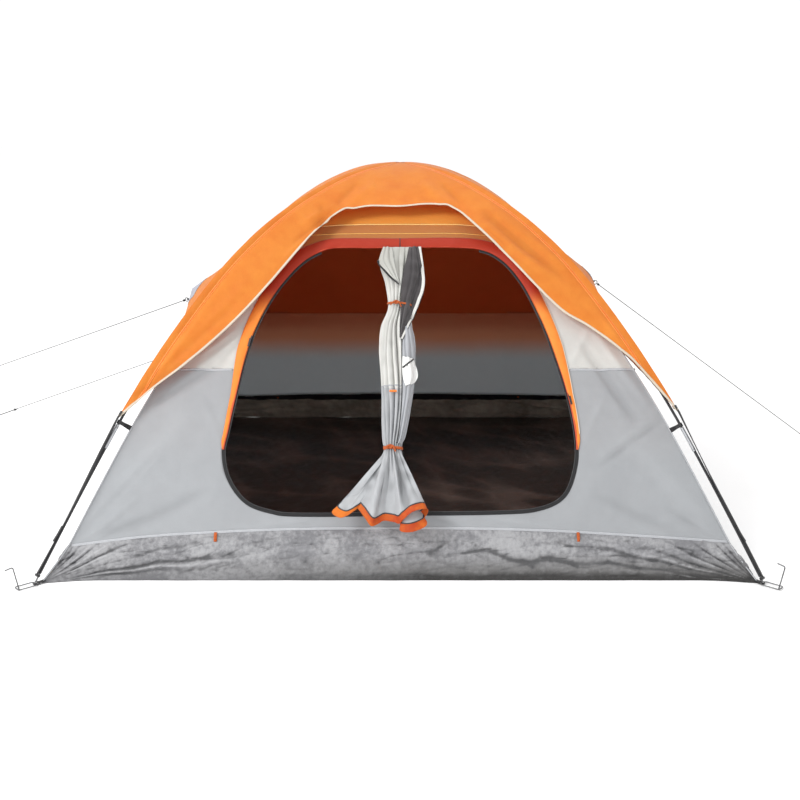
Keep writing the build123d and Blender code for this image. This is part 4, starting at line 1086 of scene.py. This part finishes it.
UP = np.array([0, 0, 1.0])
STRAP_DIP, BUCKLE_ROW = 0.0035, 62
CLIP_STATIONS = (0.560, 1.120, 1.640)
straps, corner_straps, clip_webs = [], [], []
for corner in CORNERS:
    spot, side, out, down = leg_frame(corner, sum(ARC_LENGTHS))
    lower = spot + down * 0.0035 + out * 0.008
    station = station_of(FLY_CORNER[corner] + 0.020, FLY_SKIN)
    upper = ridge_line(corner, station, FLY_SKIN, 0.0014)[0]
    hang = ridge_line(corner, station + 0.03, FLY_SKIN, 0.0012)[0]
    t = np.linspace(0, 1, 90)[:, None]
    line = hang + (lower - hang) * t - out * STRAP_DIP * np.sin(pi * t)
    lean = 0.35 * np.sin(2 * pi * t)
    faced = np.vstack([out, np.cos(lean) * out + np.sin(lean) * side])
    straps.append(sweep(np.vstack([upper, line]), faced, tape(0.014, 0.0015)))
    # Loose end of the strap beyond its ladder buckle.
    hold = line[BUCKLE_ROW]
    loose = [hold + out * off + down * low for off, low in ((0.0016, 0), (0.0028, 0.03), (0.006, 0.06))]
    straps.append(folded(loose, side, 0.013, count=24))
    eye = spot + down * (spot[2] - 0.0065) / -down[2]
    flat_out = corner_way(corner)
    ring = np.array([eye[0], eye[1], 0.006])
    base = flat_out * (share_height(station_of(0.0))[0] * HALF_DIAGONAL - 0.014 + CORNER_DRAW) + UP * 0.0085
    tongue = [base, base + flat_out * 0.02 - UP * 0.001, ring - flat_out * 0.010 + UP * 0.0015]
    corner_straps.append(folded(tongue, side, 0.019, 0.0015, 30))
    for shift in (-0.0067, 0.0067):
        r = ring + side * shift
        wrap = arc(r, 0.0033, flat_out, UP, (-20, 30, 90, 150, 200))
        tail = r - flat_out * 0.016
        corner_straps.append(folded([tail + UP * 0.0022, *wrap, tail - UP * 0.0022], side, 0.0055, count=40))
    for station in CLIP_STATIONS:
        spot, side, out, down = leg_frame(corner, station)
        length = (spot - ridge_line(corner, station, INNER)[0]) @ out
        path = [spot - out * d + side * 0.0006 * sin(700 * d) for d in np.linspace(0.0195, length + 0.001, 14)]
        clip_webs.append(sweep(path, side, tape(0.017, 0.0016), scale=np.linspace(0.82, 1.12, 14)))
add_sweeps("fly_strap_webbing", straps, BLACK_WEB, ["fly_straps"])
add_sweeps("corner_straps", corner_straps, BLACK_WEB, ["corner_webbing"])
add_sweeps("clip_webbing", clip_webs, BLACK_WEB, ["clip_tabs"])

# Loop over the crossing poles, and the web down from it.
high, low = CROWN_HEIGHT + 0.0113, CROWN_HEIGHT - 0.0113
over = [(0.0158, 0, CROWN_HEIGHT), (0.0145, 0, high - 0.001), (0, 0, high + 0.0006), (-0.0145, 0, high - 0.001)]
under = [(-0.0158, 0, CROWN_HEIGHT), (-0.0145, 0, low + 0.001), (0, 0, low - 0.0006), (0.0145, 0, low + 0.001)]
loop = spline_through(over + under, 80, closed=True)
hang = [(0, 0, z) for z in np.linspace(low - 0.001, share_height(0.0)[1] - 0.001, 12)]
add_sweeps("crown_loop", [sweep(loop, np.cross(ahead_of(loop), (0, 1.0, 0)), tape(0.012, 0.0015), closed=True),
                          sweep(hang, (0, 1, 0), tape(0.016, 0.0015))], BLACK_WEB, ["apex_tie"])

# Stake loops on the tub, folded orange tape: (out, height) round the fold.
PEG_LOOP = metres([(1, 153), (1.4, 140), (2.4, 127.5), (5.6, 124.5), (7.8, 130), (6.6, 143), (2.8, 154)])
pegs = []
for side, spots in (("front", (-0.652, 0.630)), ("rear", (0.652, -0.630))):
    for across in spots:
        path = [on_wall(side, np.array(across), np.array(z), d)[0] for d, z in PEG_LOOP]
        pegs.append(folded(path, (*AXES[side][0], 0), 0.0105, count=48))
add_sweeps("stake_loops", pegs, ORANGE_WEB, ["peg_loops"])

# ------------------------------------------------------------------ guy patches, tabs and knots
for side, wide, tall in (("left", 0.105, 0.062), ("right", 0.062, 0.040)):
    turn = np.linspace(0, 2 * pi, 56, endpoint=False)
    reach = 1 / (abs(np.cos(turn)) ** 1.25 + abs(np.sin(turn)) ** 1.25) ** (1 / 1.25)
    r = np.linspace(0.02, 1, 14)[:, None]
    across, height = wide * r * reach * np.cos(turn), PULLS[side][1] + tall * r * reach * np.sin(turn)
    faces = grid_faces(14, 56, wrap=True, flip=True) + [tuple(range(56))]
    add_piece(f"guy_patch_{side}", on_fly(side, across, station_of(height, FLY_SKIN), 0.0014), faces,
                             PATCH, field(across, (1 - r) * tall))
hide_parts("guy_patches")

tabs, knots = [], {}
for name, guy in GUYS.items():
    start = np.array(guy["start"])
    along = unit(guy["ground"] - start)
    across = unit(np.cross(along, UP))
    over = np.cross(across, along)
    near = start - along * 0.0185
    if name in PULLS:
        x, z = PULLS[name]
        sign = 1 if x > 0 else -1
        tip = np.array([x - sign * 0.001, 0, z])
        inward = np.array([-sign * 0.045, 0, 0.018])
        wire = arc(near, 0.0024, along, over, (-30, 30, 90, 150, 210))
        sewn = [tip + inward + 0.004 * UP, tip + 0.35 * inward + 0.003 * UP]
        tabs.append(folded([*sewn, *wire, tip - 0.004 * UP], across, 0.011))
    else:
        back = near - along * 0.006
        wire = arc(near, 0.0024, along, over, (-60, 0, 60, 120, 180, 240))
        tabs.append(folded([back + over * 0.003, *wire, back - over * 0.003], across, 0.010, count=50))
    turn = np.linspace(0, 2 * pi * 3.4, 110)[:, None]
    wide = CORD * (0.95 + 0.25 * np.sin(turn / 6.8))
    rise = 0.0025 + 0.0075 * turn / turn[-1]
    helix = start + along * rise + wide * (np.cos(turn) * across + np.sin(turn) * over)
    knots[name] = add_sweeps(f"guy_knot_{name}", [sweep(helix, along, rod(CORD * 0.45, 6))], CORD_BRAID)
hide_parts("guy_knots")
add_sweeps("guy_tabs", tabs, BLACK_WEB)

# ------------------------------------------------------------------ gathered door
HINGE = np.array([0.0, -0.44933, 1.096])
ACROSS = np.array([1.0, 0, 0])
ROLL_DOWN = np.array([0.0, -0.5485, -0.8362])
ROLL_OUT = np.array([0.0, -0.8362, 0.5485])
# Gathered door: (distance down, across, half width, half thickness), to the lower tie.
ROLL = metres([
    (2, 9, 76, 4), (60, 4, 82, 17), (150, 2, 58, 24), (226, -3, 43, 21), (240, -3, 42, 20), (256, -4, 43, 21),
    (325, -15, 58, 29), (415, -13, 68, 32), (520, -10, 64, 31), (606, -12, 56, 28), (720, -20, 44, 26),
    (785, -25, 34, 21), (797, -25, 31, 19), (812, -25, 34, 21),
])
# Pleats round the bundle, from its back over its left side: (angle, depth, width).
PLEATS = metres([
    (-2940, 800, 85), (-2550, 840, 90), (-2140, 820, 85), (-1780, 860, 90), (-1360, 780, 85), (-990, 860, 95),
    (-620, 800, 80), (-240, 740, 75), (160, 860, 90), (500, 700, 75), (860, 840, 85), (1300, 800, 90),
    (1680, 860, 85), (2100, 800, 90), (2500, 840, 85), (2880, 820, 85),
])
# Lower edge of the door cloth, from inside the left scroll to inside the right one.
HEM = metres([
    (-150, -1020, 250), (-167, -1035, 243), (-186, -1046, 234), (-210, -1050, 229), (-236, -1032, 243),
    (-200, -1005, 262), (-156, -1012, 256), (-122, -1048, 228), (-100, -1072, 207), (-78, -1052, 206),
    (-56, -1040, 214), (-21, -1048, 212), (-3, -1064, 212), (11, -1076, 232), (42, -1082, 262),
    (84, -1066, 268), (97, -1046, 251), (80, -1048, 226), (42, -1056, 222), (5, -1064, 204), (4, -1080, 190),
    (42, -1094, 194), (88, -1078, 208), (88, -1052, 222), (60, -1046, 228),
])
HEM_BAND = 0.030
DOOR_COLUMNS = 640


def in_roll(x, down, out):
    """World points of places in the gathered door's own frame."""
    x, down, out = (np.asarray(part)[..., None] for part in (x, down, out))
    return HINGE + x * ACROSS + down * ROLL_DOWN + out * ROLL_OUT


def roll_section(down):
    """Middle, half width and half thickness of the bundle at a distance down."""
    return [smooth_through(ROLL[:, 0], ROLL[:, k], down) for k in (1, 2, 3)]


def pleated(t, down):
    """Points of the pleated cross-section at a share of the way round and a distance down."""
    angle = -pi + 2 * pi * t
    rho = 1.0 + 0.05 * np.sin(3 * angle + 9 * down)
    for n, (at, depth, width) in enumerate(PLEATS):
        centre = at + 0.11 * np.sin(2 * pi * down / (0.46 + 0.02 * n) + 0.9 * n)
        deep = depth * (0.80 + 0.20 * np.sin(2 * pi * down / (0.52 + 0.04 * n) + 2.3 * n))
        rho = rho - deep * np.exp(-(abs(angle - centre) / width) ** 1.7)
    rho = np.clip(rho, 0.10, 1.08)
    x, a, b = roll_section(down)
    return in_roll(x + a * rho * np.sin(angle), down, b * rho * np.cos(angle))


def door_mesh():
    """Whole gathered door as one open sheet, its left edge first, with its UVs and folds."""
    t = np.linspace(0.004, 0.996, DOOR_COLUMNS)
    upper = pleated(t, np.linspace(0.002, 0.812, 150)[:, None])
    share = np.linspace(0, 1, 70)[1:, None]
    lower = upper[-1] + (spline_through(HEM, DOOR_COLUMNS) - upper[-1]) * share[..., None]
    # The skirt bells out below the tie, with folds that run down from it.
    wave = 0.8 * np.sin(2 * pi * t * 6 + 0.8) - 2.8 * bell((t - 0.55) / 0.026) - 1.2 * bell((t - 0.37) / 0.02)
    out = np.sin(pi * share) * (0.010 + 0.011 * wave) * np.clip(np.sin(pi * t) * 1.5, 0, 1)
    place = np.concatenate([upper, lower + out[..., None] * ROLL_OUT])
    run = np.append(0, np.cumsum(np.linalg.norm(np.diff(place, axis=0), axis=2).mean(1)))
    swell = np.append(np.zeros(len(upper)), np.sin(pi * share[:, 0]) ** 0.5)[:, None]
    rows = place + 0.0012 * ripple(place, 0.045, 51)[..., None] * ROLL_OUT
    # The fold values paint shade in the skirt's valleys, deepest in its middle valley, and highlight on its ridges.
    return rows, field(t * 1.38, run[:, None]), 0.7 * swell * wave + 0.35 * ripple(place, 0.05, 52)


door_rows, door_uv, door_folds = door_mesh()
door = add_piece("door_cloth", door_rows, grid_faces(*door_rows.shape[:2], flip=True), DOOR_CLOTH, door_uv,
                 ["door_roll"], "door", door_folds)
door.data.materials.append(HEM_ORANGE)
band_row = first_where(np.linalg.norm(door_rows - door_rows[-1], axis=2).mean(1) < HEM_BAND)
band = np.arange(len(door.data.polygons)) >= band_row * (DOOR_COLUMNS - 1)
door.data.polygons.foreach_set("material_index", band.astype(np.int32))


def add_on_door(name, path, profile, material, normals=ROLL_OUT, scale=1.0):
    """Tape or bead along the gathered door."""
    add_sweeps(name, [sweep(path, normals, profile, scale=scale)], material, body="door")


def add_on_row(name, row, profile, material, trim=0, scale=1.0):
    """Tape or bead along a row of the door cloth, on its outer face."""
    outward = unit(np.cross(np.gradient(door_rows[row], axis=0), door_rows[row] - door_rows[row - 1]))
    kept = slice(trim, DOOR_COLUMNS - trim)
    add_on_door(name, door_rows[row][kept], profile, material, outward[kept], scale)


bead = np.where(np.arange(DOOR_COLUMNS) % 2, 1.0, 0.75)
add_on_row("door_hem_zip", band_row, tape(0.0055, 0.0042), ZIP_TEETH, scale=bead)
add_on_row("door_hem_edge", len(door_rows) - 1, rod(0.0014, 6), HEM_ORANGE)
seam_row = first_where(door_rows[..., 2].mean(1) < DOOR_SEAM_HEIGHT)
add_on_row("door_seam", seam_row, tape(0.006, 0.0022), SEAM_GREY, trim=8)


def laid_sheet(name, left, right, shape, lift, seed, sag, material, wide, long):
    """Sheet over the front of the bundle between two lines of (across, down) in millimetres."""
    rows, columns = shape
    a, b = spline_through(metres(left), rows), spline_through(metres(right), rows)
    s = np.linspace(0, 1, columns)
    x, down = np.moveaxis(a[:, None] * (1 - s[:, None]) + b[:, None] * s[:, None], -1, 0)
    middle, half, thick = roll_section(down)
    out = thick * np.sqrt(np.clip(1 - ((x - middle) / half) ** 2, 0.0, 1)) + lift
    out = out + sag * np.sin(pi * s) ** 2 + 0.003 * ripple(field(x, down, 0.0), 0.06, seed)
    for shift in (0.3, 0.68):
        out = out - 0.006 * bell((s - shift - 0.1 * np.sin(down * 14)) / 0.07)
    points = in_roll(x, down, out)
    uv = field(np.linspace(*wide, columns), np.linspace(0, long, rows)[:, None])
    return add_piece(name, points, grid_faces(rows, columns), material, uv, body="door"), points


screen, screen_rows = laid_sheet(
    "door_screen", [(34, 4), (15, 112), (5, 194), (0, 314), (-2, 386)],
    [(74, 4), (88, 144), (70, 222), (38, 306), (4, 390)], (90, 40), 0.004, 61, 0.006, SCREEN, (0, 0.1), 0.4)
add_on_door("screen_edging", screen_rows[:, -1], tape(0.012, 0.002), SEAM_WHITE)
strip, strip_rows = laid_sheet(
    "door_grey_fold", [(11, 350), (7, 414), (7, 510), (6, 626), (-4, 738), (-12, 786)],
    [(40, 318), (55, 378), (57, 452), (50, 576), (24, 738), (6, 786)],
    (110, 30), 0.0055, 63, 0.004, SEAM_GREY, (0.02, 0.08), 0.45)
beside = screen_rows[40:, -1] + 0.006 * ACROSS - 0.004 * ROLL_OUT
add_sweeps("fold_edging", [sweep(strip_rows[:, 0], ROLL_OUT, tape(0.004, 0.0022)),
                           sweep(beside, ROLL_OUT, tape(0.005, 0.003))], ZIP_TAPE, body="door")
corner_fold, fold_rows = laid_sheet(
    "door_corner_fold", [(-64, 4), (-78, 50), (-79, 74), (-48, 122), (-4, 168)],
    [(-30, 4), (-24, 60), (-18, 96), (-10, 134), (0, 172)], (60, 24), 0.007, 65, 0.005, DOOR_CLOTH, (0, 0.06), 0.18)
add_on_door("corner_fold_edging", fold_rows[18:, 0], tape(0.009, 0.003), ZIP_TAPE)
# Plain tag sewn in the bundle, with a dark band.
tag, tag_rows = laid_sheet(
    "door_tag", [(9, 462), (8, 500), (10, 540), (20, 572)], [(50, 466), (62, 500), (64, 534), (46, 562)],
    (26, 22), 0.012, 67, 0.006, TAG, (0, 0.045), 0.1)
tag_line = np.array([tag_rows[10 - k // 2, k] for k in range(1, 21)]) + 0.0012 * ROLL_OUT
add_on_door("tag_band", tag_line, tape(0.006, 0.0012), BLACK_WEB)


def tie_loop(down, x, a, b, width, seed):
    """Tape tied round the bundle, with its knot and two short ends at the front left."""
    turn = np.linspace(0, 2 * pi, 90, endpoint=False)
    loop = in_roll(x + a * np.sin(turn), down + 0.004 * np.sin(turn + seed), b * np.cos(turn))
    normal = np.sin(turn)[:, None] * ACROSS + np.cos(turn)[:, None] * ROLL_OUT
    knot = in_roll(x - 0.25 * a, down, b * 1.02 + 0.003)
    q = np.linspace(0, 2 * pi, 24, endpoint=False)[:, None]
    ball = knot + 0.0052 * (ACROSS * np.cos(q) * 1.3 + ROLL_DOWN * np.sin(q)) + ROLL_OUT * 0.002 * np.sin(2 * q)
    parts = [sweep(loop, normal, tape(width, 0.002), closed=True), sweep(ball, ROLL_OUT, rod(0.0030), closed=True)]
    for way, drop in ((-0.022, 0.014), (0.018, 0.020)):
        end = ACROSS * way + ROLL_DOWN * drop + ROLL_OUT * 0.002
        tail = [knot, knot + ACROSS * way * 0.5 + ROLL_OUT * 0.005, knot + end]
        parts.append(sweep(spline_through(tail, 20), ROLL_OUT, tape(width * 0.55, 0.0016)))
    return parts


ties = tie_loop(0.240, -0.002, 0.0455, 0.0235, 0.008, 0.4) + tie_loop(0.797, -0.025, 0.0345, 0.0225, 0.011, 1.2)
add_sweeps("door_tie_tapes", ties, ORANGE_WEB, ["door_ties"], "door")

low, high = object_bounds()
